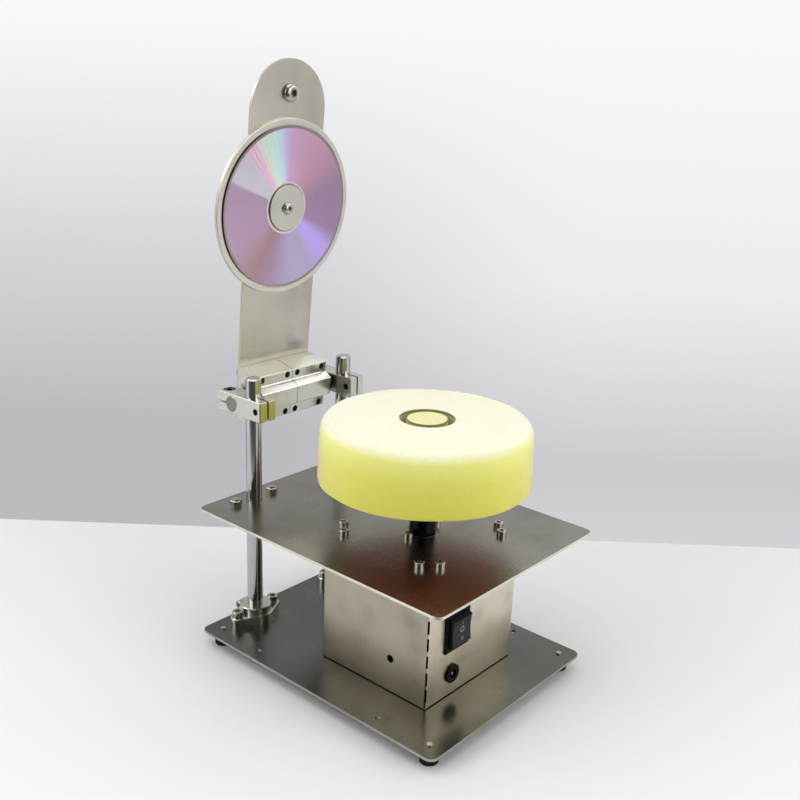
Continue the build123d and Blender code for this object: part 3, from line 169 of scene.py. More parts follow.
def ramp(mat, factor, *stops):
    """A colour ramp from (position, colour) stops."""
    made = node(mat, "ValToRGB", Fac=factor)
    elements = made.color_ramp.elements
    while len(elements) < len(stops):
        elements.new(0.5)
    for element, (position, colour) in zip(elements, stops):
        element.position = position
        element.color = (*colour, 1)
    return made.outputs[0]


def between(mat, factor, low, high):
    """A number that follows the factor from low to high."""
    return node(mat, "MapRange", Value=factor, To_Min=low, To_Max=high).outputs[0]


def mask(mat, value, start, end):
    """A soft step from 0 to 1 as the value goes from start to end."""
    return node(mat, "MapRange", {"interpolation_type": "SMOOTHSTEP"}, Value=value, From_Min=start,
                From_Max=end).outputs[0]


# %% Helpers that combine and connect
def maths(mat, operation, first, second):
    """One sum on two numbers or sockets."""
    return node(mat, "Math", {"operation": operation}, _0=first, _1=second).outputs[0]


def blend(mat, factor, first, second, how="MIX"):
    """Two colours mixed; each is a socket or (r, g, b)."""
    first, second = ((*c, 1) if isinstance(c, tuple) else c for c in (first, second))
    return node(mat, "Mix", {"data_type": "RGBA", "blend_type": how}, _0=factor, _6=first,
                _7=second).outputs[2]


def bump(mat, height, depth):
    """Relief this deep, in metres."""
    made = node(mat, "Bump", Height=height, Distance=depth, Strength=1.0)
    mat.node_tree.links.new(made.outputs[0], shader_of(mat).inputs["Normal"])


def feed(mat, socket, value):
    """Link a value to a socket of the Principled shader."""
    mat.node_tree.links.new(value, shader_of(mat).inputs[socket])


# %% [markdown]
# ## The studio
#
# The photograph was taken in a light tent: a white floor, and a pale wall close behind that turns
# greyer towards its foot. A plane could stand in for both, but the join shows as a soft line, so we
# sweep one strip with a small curve. The wall's grey is painted on it by height, because lighting
# it that way would also change the light on the machine. It is seen from its front only, so that a
# camera behind the machine looks through it.
#
# Bright metal mirrors the floor and the wall, so each is painted with something that reflections
# alone show: the floor is dark towards the photographer, and the wall has a bright round patch
# above the hinge, where a lamp would hang. Real things could stand there, but they would get in the
# way of other views. The Light Path node tells a mirror-like ray from one out of the camera.

# %% The floor and the wall's strip
WALL_DISTANCE = 0.905   # from the lens, along the floor
SWEEP_R = 0.018
HALF_WIDTH = 2.0
ahead = Vector((math.sin(HEADING), math.cos(HEADING), 0))
foot = Vector((LENS_AT.x, LENS_AT.y, 0)) + ahead * WALL_DISTANCE


def strip(name, profile, half_width, mat):
    """A sheet made by moving an upright profile, given as (distance, height), sideways."""
    mesh = bmesh.new()
    rows = []
    for side in (-half_width, half_width):
        rows.append([mesh.verts.new(foot + ahead * d + level_right * side + Vector((0, 0, h)))
                     for d, h in profile])
    for i in range(len(profile) - 1):
        mesh.faces.new((rows[0][i], rows[1][i], rows[1][i + 1], rows[0][i + 1])).smooth = True
    data = bpy.data.meshes.new(name)
    mesh.to_mesh(data)
    made = bpy.data.objects.new(name, data)
    data.materials.append(mat)
    bpy.context.scene.collection.objects.link(made)
    return made


curve = [(SWEEP_R * math.sin(a), SWEEP_R * (1 - math.cos(a)))
         for a in (math.radians(9 * i) for i in range(11))]
print("wall foot", [round(c, 3) for c in foot])


# %% What the floor shows to reflections
def seen_or_glossy(mat):
    """1 for rays from the camera and for mirror-like reflections."""
    path = node(mat, "LightPath").outputs
    both = maths(mat, "MAXIMUM", path["Is Camera Ray"], path["Is Glossy Ray"])
    return maths(mat, "MAXIMUM", both, path["Is Transmission Ray"])


def glossy_ray(mat):
    """1 for mirror-like reflections."""
    return node(mat, "LightPath").outputs["Is Glossy Ray"]


DARK_FROM, DARK_TO = 0.2, 0.42      # how far towards the photographer, in metres
DARK_GREY = (0.1, 0.1, 0.1, 1)


def dark_in_gloss(mat):
    """Reflections show the sheet dark where it lies towards the photographer."""
    dark = mask(mat, along(mat, place_on(mat), -ahead), DARK_FROM, DARK_TO)
    share = maths(mat, "MULTIPLY", dark, glossy_ray(mat))
    room = node(mat, "Emission", Color=DARK_GREY).outputs[0]
    mixed = node(mat, "MixShader", _0=share, _1=shader_of(mat).outputs[0], _2=room).outputs[0]
    mat.node_tree.links.new(mixed, mat.node_tree.nodes["Material Output"].inputs[0])


floor_paint = finish("floor_paint", (0.82, 0.82, 0.83), 0.6)
dark_in_gloss(floor_paint)
print("floor paint", floor_paint.name, "dark from", DARK_FROM, "m")

# %% The wall's greys, by height
WALL_H = 1.6
GREY_SCALE = 1.7    # the height at which the ramps end
wall_paint = finish("wall_paint", (0.75, 0.75, 0.76), 0.8)
across_wall = along(wall_paint, place_on(wall_paint), level_right)
height = node(wall_paint, "SeparateXYZ", Vector=place_on(wall_paint)).outputs["Z"]
share_up = between(wall_paint, height, 0.0, GREY_SCALE)
left_grey = ramp(wall_paint, share_up, (0.0, srgb(188, 187, 192)), (0.17, srgb(187, 186, 191)),
                 (0.45, srgb(214, 213, 218)), (0.8, srgb(249, 249, 249)))
right_grey = ramp(wall_paint, share_up, (0.0, srgb(210, 209, 214)), (0.12, srgb(203, 202, 207)),
                  (0.42, srgb(236, 236, 237)), (0.8, srgb(248, 248, 248)))
grey = blend(wall_paint, mask(wall_paint, across_wall, -0.15, 0.2), left_grey, right_grey)
print("wall", WALL_H, "m high")

# %% The bright patch that the hinge mirrors
PATCH_ACROSS, PATCH_UP = 0.02, 0.39
PATCH_R, PATCH_SOFT = 0.07, 0.04
PATCH_GLOW = (1.9, 1.9, 1.9)
patch_x = maths(wall_paint, "SUBTRACT", across_wall, PATCH_ACROSS)
patch_y = maths(wall_paint, "SUBTRACT", height, PATCH_UP)
patch_way = node(wall_paint, "CombineXYZ", X=patch_x, Y=patch_y).outputs[0]
patch_way = node(wall_paint, "VectorMath", {"operation": "LENGTH"}, _0=patch_way).outputs["Value"]
patch = mask(wall_paint, patch_way, PATCH_R + PATCH_SOFT, PATCH_R)
patch = maths(wall_paint, "MULTIPLY", patch, glossy_ray(wall_paint))
grey = blend(wall_paint, patch, grey, PATCH_GLOW)
print("patch", PATCH_UP, "m up the wall")

# %% A wall that is seen from its front only
glow = node(wall_paint, "Emission", Color=grey).outputs[0]
lit = node(wall_paint, "MixShader", _0=seen_or_glossy(wall_paint),
           _1=shader_of(wall_paint).outputs[0], _2=glow).outputs[0]
clear = node(wall_paint, "BsdfTransparent").outputs[0]
behind = node(wall_paint, "NewGeometry").outputs["Backfacing"]
one_sided = node(wall_paint, "MixShader", _0=behind, _1=lit, _2=clear).outputs[0]
wall_paint.node_tree.links.new(one_sided, wall_paint.node_tree.nodes["Material Output"].inputs[0])
print("wall paint", wall_paint.name)

# %% Lay the floor and the wall
floor = strip("floor", [(-2.5, 0), (0, 0)], HALF_WIDTH, floor_paint)
wall = strip("wall", curve + [(SWEEP_R, WALL_H)], HALF_WIDTH, wall_paint)
beyond = strip("floor_beyond", [(0, 0), (1.5, 0)], HALF_WIDTH, floor_paint)
print("stage", floor.name, wall.name, beyond.name)

# %% [markdown]
# ## The light
#
# Bright steel shows what stands around it, so the surroundings matter more than the lamps. The tent
# is open towards the photographer, and the dark room behind them gives every shaft and screw its
# dark stripe. We paint that opening into the world by direction. One even grey would be simpler,
# but then chrome looks like grey plastic. Five soft boxes add the shadows and the highlights.

# %% World light: a pale tent with a dark opening
world = bpy.data.worlds.new("tent")
world.use_nodes = True
bpy.context.scene.world = world
way = node(world, "TexCoord").outputs["Generated"]
opening_way = (Vector((0, 0, 0.15)) - ahead).normalized()
opening = mask(world, along(world, way, opening_way), 0.5, 0.85)    # cosines, 60 to 32 degrees
upward = node(world, "SeparateXYZ", Vector=way).outputs["Z"]
tent = ramp(world, upward, (0.0, (0.5, 0.5, 0.51)), (0.35, (0.58, 0.58, 0.59)),
            (1.0, (0.7, 0.7, 0.7)))
room = blend(world, opening, tent, (0.08, 0.077, 0.073))
camera_ray = node(world, "LightPath").outputs["Is Camera Ray"]
seen = blend(world, camera_ray, room, (0.86, 0.86, 0.87))
world.node_tree.links.new(seen, world.node_tree.nodes["Background"].inputs["Color"])
print("world", world.name)


# %% Soft boxes
def soft_box(name, at, aim, size, watts):
    """A square lamp that faces a point."""
    data = bpy.data.lights.new(name, "AREA")
    data.shape = "SQUARE"
    data.size = size
    data.energy = watts
    lamp = bpy.data.objects.new(name, data)
    bpy.context.scene.collection.objects.link(lamp)
    lamp.location = at
    lamp.rotation_euler = (Vector(aim) - Vector(at)).to_track_quat("-Z", "Y").to_euler()


MIDDLE = (0, 0, 0.18)
soft_box("top_box", (-0.1, 0.0, 1.4), MIDDLE, 1.1, 4.8)
soft_box("left_box", (-1.25, 0.42, 0.65), MIDDLE, 0.9, 6.5)
soft_box("right_box", (0.95, -0.85, 0.9), MIDDLE, 0.6, 3.8)
soft_box("front_box", (0.2, -1.45, 0.55), MIDDLE, 0.9, 8.0)
soft_box("back_box", (-0.7, 0.75, 1.05), MIDDLE, 0.6, 2.6)

# %% [markdown]
# ## Satin steel
#
# The plates, the box and the arm are stainless sheet with a fine satin grain. A brushed look needs
# two things: streaks much longer than they are wide, in roughness and in a very shallow bump, and
# soft clouds where the sheet was handled. An image of scratches would repeat and needs UVs; noise
# that is squeezed along one axis gives both without them. Each piece has the grain along its own
# direction, so the finish is made once per direction.
#
# Two kinds of painted light and shade go over the steel. Edges that a laser cut get a painted
# highlight, and we find them by their level normals. The box gets painted shade near its foot, and
# painted light on its front wall, so that the front wall is the brightest.

# %% Satin steel, by direction of grain
FINE, FINE_ALONG = 2600.0, 22.0     # the grain's noise, across and along its direction
WIDE, WIDE_ALONG = 60.0, 5.0        # and that of the bands
GRAIN_DEEP = 0.000003


def squeezed(mat, across, along_grain, axis):
    """Coordinates for streaks that run along one axis."""
    scale = [across, across, across]
    scale[axis] = along_grain
    return stretched(mat, tuple(scale))


def satin_steel(name, axis, tint, shades=(), clouds=9.0, rough=(0.25, 0.36)):
    """Stainless sheet with its grain along an axis; each shade(mat) is a colour of painted light
    and shade to multiply by.
    """
    mat = finish(name, tint, rough[0], 1.0)
    grain = speckle(mat, squeezed(mat, FINE, FINE_ALONG, axis), 1.0, 2.0)
    bands = speckle(mat, squeezed(mat, WIDE, WIDE_ALONG, axis), 1.0, 3.0)
    cloud = speckle(mat, stretched(mat), clouds, 4.0, 0.55)
    worn = maths(mat, "ADD", maths(mat, "MULTIPLY", bands, 0.22), cloud)
    dark = tuple(0.74 * c for c in tint)
    light = tuple(min(1.0, 1.16 * c) for c in tint)
    colour = ramp(mat, worn, (0.38, dark), (0.6, tint), (0.84, light))
    for shade in shades:
        colour = blend(mat, 1.0, colour, shade(mat), "MULTIPLY")
    feed(mat, "Base Color", colour)
    streaks = maths(mat, "ADD", maths(mat, "MULTIPLY", grain, 0.35), cloud)
    feed(mat, "Roughness", between(mat, streaks, rough[0] - 0.04, rough[1]))
    bump(mat, grain, GRAIN_DEEP)
    return mat


# %% Painted light and shade for the steel
def facing(mat, axis):
    """How far a face looks along an axis, -1 to 1."""
    normal = node(mat, "NewGeometry").outputs["Normal"]
    return node(mat, "SeparateXYZ", Vector=normal).outputs[axis]


def painted_edge_highlight(mat):
    """The plates' laser-cut edges get a painted highlight, 2.5 times the colour of their faces."""
    level_face = maths(mat, "ABSOLUTE", facing(mat, "Z"), 0.0)
    # painted highlight: upright faces get 2.5 times the colour, level faces keep it
    return ramp(mat, level_face, (0.3, (2.5, 2.55, 2.6)), (0.75, (1, 1, 1)))


def painted_wall_shade(mat):
    """Painted shade and light on a box wall: darker towards its foot, and the front wall painted
    brighter, up to 1.5 times its colour at the top.
    """
    up_wall = node(mat, "SeparateXYZ", Vector=place_on(mat)).outputs["Z"]
    up_wall = between(mat, up_wall, 0.0, 10.0)      # 1 at a height of 0.1 m
    # painted shade: the side walls darken towards their foot
    side_wall = ramp(mat, up_wall, (0.12, (0.38, 0.36, 0.33)), (0.5, (0.8, 0.79, 0.77)),
                     (1.0, (0.7, 0.7, 0.69)))
    # painted light: the front wall is brighter than its own colour, most of all at its top
    front_wall = ramp(mat, up_wall, (0.12, (0.9, 0.87, 0.8)), (0.5, (1.22, 1.2, 1.17)),
                      (0.8, (1.28, 1.28, 1.28)), (1.0, (1.36, 1.41, 1.5)))
    front = maths(mat, "LESS_THAN", facing(mat, "Y"), -0.7)
    return blend(mat, front, side_wall, front_wall)


# %% Steel for each sheet
# One stainless for all: the tints are painted shade and light, from the dark base plate to the
# light box.
shaded_plate_steel = satin_steel("shaded_plate_steel", 0, srgb(110, 110, 103), (painted_edge_highlight,), 16.0, (0.22, 0.3))
deck_steel = satin_steel("deck_steel", 0, srgb(146, 143, 133), (painted_edge_highlight,), 16.0, (0.22, 0.3))
box_steel = satin_steel("box_steel", 2, srgb(200, 193, 177), (painted_wall_shade,), 32.0, (0.29, 0.4))
arm_steel = satin_steel("arm_steel", 2, srgb(190, 186, 174))
print("steel", shaded_plate_steel.name, deck_steel.name, box_steel.name, arm_steel.name)

# %% [markdown]
# ## Turned, ground and milled metal
#
# The shafts are hard-chromed and ground, so they are near mirrors. Screws are bright steel with a
# little unevenness. The clamps and blocks are bare aluminium, milled, with faint tool lines and a
# whiter, softer shine than steel. One helper with a tint, a roughness and a grain covers them all.

# %% Chrome, bright steel and aluminium
def metal(name, tint, rough, grain=(900.0, 900.0, 900.0), depth=0.000008, spread=0.08):
    """A plain metal with fine grain; grain is the noise's scale along each axis."""
    mat = finish(name, tint, rough, 1.0)
    fine = speckle(mat, stretched(mat, grain), 1.0, 3.0)
    soft = speckle(mat, stretched(mat), 55.0, 3.0)
    feed(mat, "Roughness", between(mat, soft, rough - spread / 2, rough + spread))
    feed(mat, "Base Color", ramp(mat, soft, (0.3, tuple(0.9 * c for c in tint)), (0.7, tint)))
    bump(mat, fine, depth)
    return mat


shaft_chrome = metal("shaft_chrome", srgb(186, 186, 188), 0.14, (300.0, 300.0, 2500.0),
                     0.000003, 0.04)
cross_chrome = metal("cross_chrome", srgb(214, 214, 216), 0.12, (2500.0, 300.0, 300.0),
                     0.000003, 0.04)
screw_steel = metal("screw_steel", srgb(188, 184, 173), 0.24)
plain_steel = metal("plain_steel", srgb(190, 190, 190), 0.3)
aluminium = metal("aluminium", srgb(209, 208, 198), 0.24, (400.0, 4000.0, 4000.0), 0.000001)
tray_metal = metal("tray_metal", srgb(216, 212, 200), 0.3, (1200.0, 1200.0, 1200.0), 0.00001)
washer_metal = metal("washer_metal", srgb(206, 204, 194), 0.28, (1200.0, 1200.0, 1200.0), 0.00001)
plated_can = metal("plated_can", srgb(180, 181, 184), 0.25)
core_steel = metal("core_steel", srgb(140, 140, 142), 0.45, (50.0, 50.0, 2500.0), 0.00005)
copper = metal("copper", srgb(196, 118, 74), 0.3, (200.0, 200.0, 2500.0), 0.00004)
brass = metal("brass", srgb(214, 188, 120), 0.28)
black_anodised = metal("black_anodised", srgb(34, 34, 36), 0.35)
black_steel = metal("black_steel", srgb(40, 40, 42), 0.3)
print("metals made")

# %% The sawn ends of the cross shaft
CROSS_END = 55.15 * MM      # just inside the shaft's ends


def cut_ends(mat, face_x):
    """Beyond face_x on either side the shaft is dull grey, not chromed."""
    across = node(mat, "SeparateXYZ", Vector=place_on(mat)).outputs["X"]
    end = maths(mat, "GREATER_THAN", maths(mat, "ABSOLUTE", across, 0.0), face_x)
    shine, tint = (shader_of(mat).inputs[name].links[0].from_socket
                   for name in ("Roughness", "Base Color"))
    dull = node(mat, "Mix", {"data_type": "FLOAT"}, _0=end, _2=shine, _3=0.45).outputs[0]
    feed(mat, "Roughness", dull)
    feed(mat, "Base Color", blend(mat, end, tint, srgb(138, 140, 136)))


cut_ends(cross_chrome, CROSS_END)
print("cross shaft's ends beyond", round(CROSS_END, 4))

# %% [markdown]
# ## Plastic and rubber
#
# The switch and the socket are black plastic. Moulded plastic has a very fine spark-eroded grain: a
# small noise bump and a little change in roughness are enough. Rubber is duller and reflects less.
#
# The plate under the pad is out of sight, but the deck mirrors it as a soft red-brown patch. We
# could paint that patch on the deck, but it would stay put when the view changes. An orange-red
# plate gives the patch by itself.

# %% Moulded plastics and rubber
def moulded(name, tint, rough, scale=1800.0, depth=0.00003, **sockets):
    """A moulded surface with a fine grain and slight clouds."""
    mat = finish(name, tint, rough, **sockets)
    grain = speckle(mat, stretched(mat), scale, 2.0)
    soft = speckle(mat, stretched(mat), 60.0, 3.0)
    feed(mat, "Roughness", between(mat, soft, rough - 0.05, rough + 0.1))
    light = tuple(c * 1.25 + 0.002 for c in tint)
    feed(mat, "Base Color", ramp(mat, soft, (0.35, tint), (0.75, light)))
    bump(mat, grain, depth)
    return mat


black_plastic = moulded("black_plastic", srgb(7, 7, 8), 0.4, Specular_IOR_Level=0.1)
backing_plastic = moulded("backing_plastic", srgb(222, 112, 44), 0.45)
rocker_plastic = moulded("rocker_plastic", srgb(22, 23, 27), 0.3, 900.0, 0.00001,
                         Specular_IOR_Level=0.25)
rubber = moulded("rubber", srgb(12, 12, 12), 0.7, 1200.0, 0.00006, Specular_IOR_Level=0.2)
mat_rubber = moulded("mat_rubber", srgb(44, 34, 30), 0.6, 1200.0, 0.00006)
carbon = moulded("carbon", srgb(38, 38, 40), 0.5)
magnet = moulded("magnet", srgb(52, 52, 56), 0.45)
lead_red = moulded("lead_red", srgb(74, 14, 12), 0.4, 600.0, 0.00002)
mark_paint = moulded("mark_paint", srgb(128, 130, 134), 0.5, 900.0, 0.00001)
print("plastics made")

# %% [markdown]
# ## The disc
#
# A disc's tracks split light into fans of colour that spread from its hub. A renderer doesn't do
# that by itself. The way that also survives an export is to paint the fans by angle around the
# disc: mauve and pink for most of it, one rainbow wedge near eleven o'clock and a violet one near
# four. A dozen named colours are enough. We find the angle from the piece's own coordinates, so
# the fans turn with the arm.

# %% Angle and radius on the disc
low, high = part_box("disc")
DISC_CENTRE = (low + high) / 2
LEAN = math.radians(4.8)    # how far the arm leans forward
ARM_UP = Vector((0, -math.sin(LEAN), math.cos(LEAN)))


def from_hub(mat):
    """The way from the disc's centre to a point."""
    return node(mat, "VectorMath", {"operation": "SUBTRACT"}, _0=place_on(mat),
                _1=tuple(DISC_CENTRE)).outputs[0]


def disc_polar(mat):
    """(angle as 0 to 1 from nine o'clock anticlockwise, radius in metres) on the disc."""
    spoke = from_hub(mat)
    x, u = along(mat, spoke, (1, 0, 0)), along(mat, spoke, ARM_UP)
    angle = maths(mat, "ARCTAN2", u, x)
    turn = node(mat, "MapRange", Value=angle, From_Min=-math.pi, From_Max=math.pi).outputs[0]
    flat = node(mat, "CombineXYZ", X=x, Y=u).outputs[0]
    radius = node(mat, "VectorMath", {"operation": "LENGTH"}, _0=flat).outputs["Value"]
    return turn, radius


# %% The disc's fans of colour
MAUVE, DUSK, DEEP = (180, 150, 176), (168, 130, 135), (168, 138, 170)
LAVENDER, VIOLET = (180, 170, 202), (196, 172, 250)
PINK, LILAC = (215, 165, 186), (220, 182, 225)
ICE, MINT, CREAM = (215, 235, 255), (208, 255, 240), (236, 245, 222)
BLUSH, PALE = (250, 180, 225), (215, 210, 220)
FANS = [    # degrees anticlockwise from three o'clock, and the colour there
    (-180, MAUVE), (-150, MAUVE), (-122, DUSK), (-104, DEEP), (-80, LAVENDER), (-60, LAVENDER),
    (-45, VIOLET), (-36, VIOLET), (-22, DEEP), (15, DEEP), (60, PINK), (88, LILAC), (101, ICE),
    (110, MINT), (119, CREAM), (129, BLUSH), (138, PALE), (156, PALE), (160, MAUVE),
    (180, MAUVE),
]
disc_face = finish("disc_face", srgb(170, 140, 175), 0.2, 0.8, Coat_Weight=0.6, Coat_Roughness=0.03)
turn, radius = disc_polar(disc_face)
fans = ramp(disc_face, turn, *[((a + 180) / 360, srgb(*c)) for a, c in FANS])
print("fans", len(FANS), "colours")

# %% Thin bright rays in the rainbow wedge
WEDGE = ((0.765, 0), (0.785, 1), (0.865, 1), (0.89, 0))     # turns from nine o'clock, and strength
rays = node(disc_face, "TexNoise", {"noise_dimensions": "1D"}, W=turn, Scale=260.0,
            Detail=3.0).outputs[0]
rays = ramp(disc_face, rays, (0.5, (0, 0, 0)), (0.58, (0.55, 0.55, 0.55)))
in_wedge = ramp(disc_face, turn, *[(place, (on, on, on)) for place, on in WEDGE])
rays = blend(disc_face, 1.0, rays, in_wedge, "MULTIPLY")
fans = blend(disc_face, 1.0, fans, rays, "SCREEN")
print("rays from", WEDGE[0][0], "to", WEDGE[-1][0], "of a turn")


# %% Rings at the hub and the rim, with painted shadow, highlight and shade
def ring_step(start, end):
    """0 to 1 as the radius goes from start to end, in millimetres."""
    return node(disc_face, "MapRange", Value=radius, From_Min=start * MM,
                From_Max=end * MM).outputs[0]


# Painted shadow at the washer's edge, 17.2 mm out, then the clear ring, and a painted highlight at
# 18.8 mm.
hub = ramp(disc_face, between(disc_face, radius, 0.0, 10.0), (0.172, srgb(96, 92, 84)),
           (0.177, srgb(176, 172, 160)), (0.183, srgb(186, 184, 174)), (0.188, srgb(232, 232, 222)))
inner = blend(disc_face, ring_step(19.0, 19.5), hub, fans)
ringed = blend(disc_face, ring_step(57.9, 58.3), inner, srgb(158, 138, 144))
# Painted shade: from 59.7 mm out, the disc's edge is dark brown for the gap between it and the
# tray's rim.
outer = blend(disc_face, ring_step(59.7, 59.9), ringed, srgb(70, 56, 52))
feed(disc_face, "Base Color", outer)
tracks = node(disc_face, "TexWave", {"wave_type": "RINGS", "rings_direction": "SPHERICAL"},
              Vector=from_hub(disc_face), Scale=900.0).outputs[1]
bump(disc_face, tracks, 0.000002)
print("disc centre", [round(c, 4) for c in DISC_CENTRE])

# %% [markdown]
# ## Give the CAD pieces their finishes
#
# The record says which slot each node belongs to. Most slots take one finish, and a few nodes take
# their own, such as the box, whose grain runs upright.

# %% Assign by slot, then by node
by_slot = {
    "satin_steel": shaded_plate_steel, "bright_steel": screw_steel, "chromed_shaft": shaft_chrome,
    "machined_aluminium": aluminium, "plated_can": plated_can, "magnet": magnet,
    "core_steel": core_steel, "copper": copper, "contact_brass": brass, "carbon": carbon,
    "black_plastic": black_plastic, "rocker_plastic": rocker_plastic,
    "black_anodised": black_anodised, "black_steel": black_steel, "black_rubber": rubber,
    "lead_red": lead_red, "disc_plastic": disc_face,
}
by_node = {
    "motor_box": box_steel, "deck_plate": deck_steel, "arm_plate": arm_steel,
    "cross_shaft": cross_chrome, "disc_mat": mat_rubber, "disc_tray": tray_metal,
    "hub_washer": washer_metal, "backing_plate": backing_plastic, "jack_contacts": plain_steel,
    "motor_bearings": plain_steel, "linear_bearing_left": plain_steel,
    "linear_bearing_right": plain_steel, "bearing_clips": plain_steel,
}
for part in frame["record"]["subparts"]:
    name, slot = part["node"], part["material_slot"]
    mat = by_node.get(name) or by_slot.get(slot)
    if mat is None:
        continue
    for place in frame["nodes"][name].material_slots:
        place.material = mat

# %% [markdown]
# ## The foam pad
#
# The pad is soft open-cell foam, cut on a lathe: slightly conical sides, a rounded shoulder, and a
# ring groove around a plug. A cylinder with a bevel would look like soap. We turn a profile in many
# small steps and move every point by a smooth noise of a few tenths of a millimetre, as soft foam
# never comes out of the cutter quite round. The cells themselves are too small for geometry, so
# they are a bump of tiny pits.

# %% A turned mesh
def turned(name, profile, centre, body, mat, steps=192, wobble=0.0):
    """A closed solid of revolution about Z; profile is (radius, height) from axis to axis."""
    mesh = bmesh.new()
    rings = []
    for r, z in profile:
        if r < 1e-7:
            rings.append([mesh.verts.new(Vector((centre[0], centre[1], z)))])
            continue
        ring = []
        for i in range(steps):
            a = 2 * math.pi * i / steps
            way = Vector((math.cos(a), math.sin(a), 0))
            at = Vector((centre[0], centre[1], z)) + way * r
            push = wobble * noise.fractal(at * 34, 1.0, 2.0, 3) if wobble else 0.0
            rise = wobble * noise.noise(at * 41 + Vector((7, 3, 1))) if wobble else 0.0
            ring.append(mesh.verts.new(at + way * push + Vector((0, 0, rise))))
        rings.append(ring)
    for a, b in zip(rings, rings[1:]):
        for i in range(steps):
            j = (i + 1) % steps
            if len(a) == 1:
                mesh.faces.new((a[0], b[i], b[j]))
            elif len(b) == 1:
                mesh.faces.new((a[i], b[0], a[j]))
            else:
                mesh.faces.new((a[i], b[i], b[j], a[j]))
    bmesh.ops.recalc_face_normals(mesh, faces=mesh.faces)
    data = bpy.data.meshes.new(name)
    mesh.to_mesh(data)
    data.shade_smooth()
    data.materials.append(mat)
    made = bpy.data.objects.new(name, data)
    bpy.context.scene.collection.objects.link(made)
    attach(made, body)
    return made


# %% Helpers for a profile
def finer(points, step):
    """The same profile with points no further apart than step."""
    out = [points[0]]
    for (r0, z0), (r1, z1) in zip(points, points[1:]):
        n = max(1, math.ceil(math.hypot(r1 - r0, z1 - z0) / step))
        out += [(r0 + (r1 - r0) * k / n, z0 + (z1 - z0) * k / n) for k in range(1, n + 1)]
    return out


def round_corner(centre, radius, start, end, steps=8):
    """Points on an arc, angles in degrees; the radius may be a pair, (along r, along z)."""
    rr, rz = radius if isinstance(radius, tuple) else (radius, radius)
    angles = [math.radians(start + (end - start) * k / steps) for k in range(steps + 1)]
    return [(centre[0] + rr * math.cos(a), centre[1] + rz * math.sin(a)) for a in angles]


# %% The foam's colour and cells
CELL_DEEP = 0.25 * MM
foam = finish("foam", srgb(232, 226, 120), 0.85, Subsurface_Weight=0.25, Sheen_Weight=0.8,
              Sheen_Roughness=0.4)
shader_of(foam).inputs["Subsurface Radius"].default_value = (1.0, 0.9, 0.35)
shader_of(foam).inputs["Subsurface Scale"].default_value = 0.006
pad_low, pad_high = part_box("foam_pad")
foam_height = node(foam, "SeparateXYZ", Vector=place_on(foam)).outputs["Z"]
level = node(foam, "MapRange", Value=foam_height, From_Min=pad_low.z,
             From_Max=pad_high.z).outputs[0]
patches = speckle(foam, stretched(foam), 26.0, 4.0, 0.6)
top_light_level = maths(foam, "ADD", maths(foam, "MULTIPLY", patches, 0.06), level)
# The colour grows paler with height; the near-white top is painted light.
skin = ramp(foam, top_light_level, (0.05, srgb(212, 206, 82)), (0.55, srgb(222, 217, 97)),
            (0.88, srgb(235, 234, 134)), (1.0, srgb(243, 242, 210)))
cells = node(foam, "TexVoronoi", {"feature": "F1"}, Vector=stretched(foam), Scale=900.0).outputs[0]
bump(foam, cells, CELL_DEEP)
print("pad from", round(pad_low.z, 4), "to", round(pad_high.z, 4))

# %% The groove's painted olive shade and the plug's paler top
SPINDLE_Y = -39.75 * MM
RING_R, PLUG_R, RING_DEEP = 19.25 * MM, 14.5 * MM, 9.0 * MM
from_axis = node(foam, "VectorMath", {"operation": "SUBTRACT"}, _0=place_on(foam),
                 _1=(0, SPINDLE_Y, 0)).outputs[0]
from_axis = node(foam, "VectorMath", {"operation": "MULTIPLY"}, _0=from_axis,
                 _1=(1, 1, 0)).outputs[0]
from_axis = node(foam, "VectorMath", {"operation": "LENGTH"}, _0=from_axis).outputs["Value"]
outside_plug = mask(foam, from_axis, 13.7 * MM, 14.2 * MM)
inside_ring = mask(foam, from_axis, 20.1 * MM, 19.5 * MM)
on_lips = maths(foam, "MULTIPLY", outside_plug, inside_ring)
skin = blend(foam, mask(foam, from_axis, 14.2 * MM, 13.9 * MM), skin, srgb(232, 228, 150))
# Painted shade: dark olive on the groove's lips, paler deeper down to offset the render's own shade
# there.
depth = mask(foam, foam_height, pad_high.z - 0.9 * MM, pad_high.z - 2.0 * MM)
groove = blend(foam, depth, srgb(124, 121, 72), srgb(192, 188, 132))
feed(foam, "Base Color", blend(foam, on_lips, skin, groove))
print("groove from", PLUG_R, "to", RING_R)

# %% Turn the pad
foot_z, top_z = pad_low.z, pad_high.z
FOOT_R = (pad_high.x - pad_low.x) / 2
TOP_R = 74.5 * MM
EDGE_IN, EDGE_DOWN = 6.0 * MM, 9.5 * MM     # the rounded shoulder
SOFT = 0.9 * MM     # the small edges
POINTS_APART = 1.6 * MM
WOBBLE = 0.35 * MM
pad_axis = ((pad_low.x + pad_high.x) / 2, (pad_low.y + pad_high.y) / 2)
outside = (
    [(0, foot_z), (FOOT_R - SOFT, foot_z)]
    + round_corner((FOOT_R - SOFT, foot_z + SOFT), SOFT, -90, 0, 4)
    + round_corner((TOP_R - EDGE_IN, top_z - EDGE_DOWN), (EDGE_IN, EDGE_DOWN), 0, 90, 16)
    + round_corner((RING_R + SOFT, top_z - SOFT), SOFT, 90, 180, 4)
    + [(RING_R, top_z - RING_DEEP), (PLUG_R, top_z - RING_DEEP)]
    + round_corner((PLUG_R - SOFT, top_z - SOFT), SOFT, 0, 90, 4)
    + [(0, top_z)]
)
pad = turned("pad", finer(outside, POINTS_APART), pad_axis, "spindle", foam, 256, WOBBLE)
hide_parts("foam_pad")
print("pad", len(pad.data.vertices), "points")

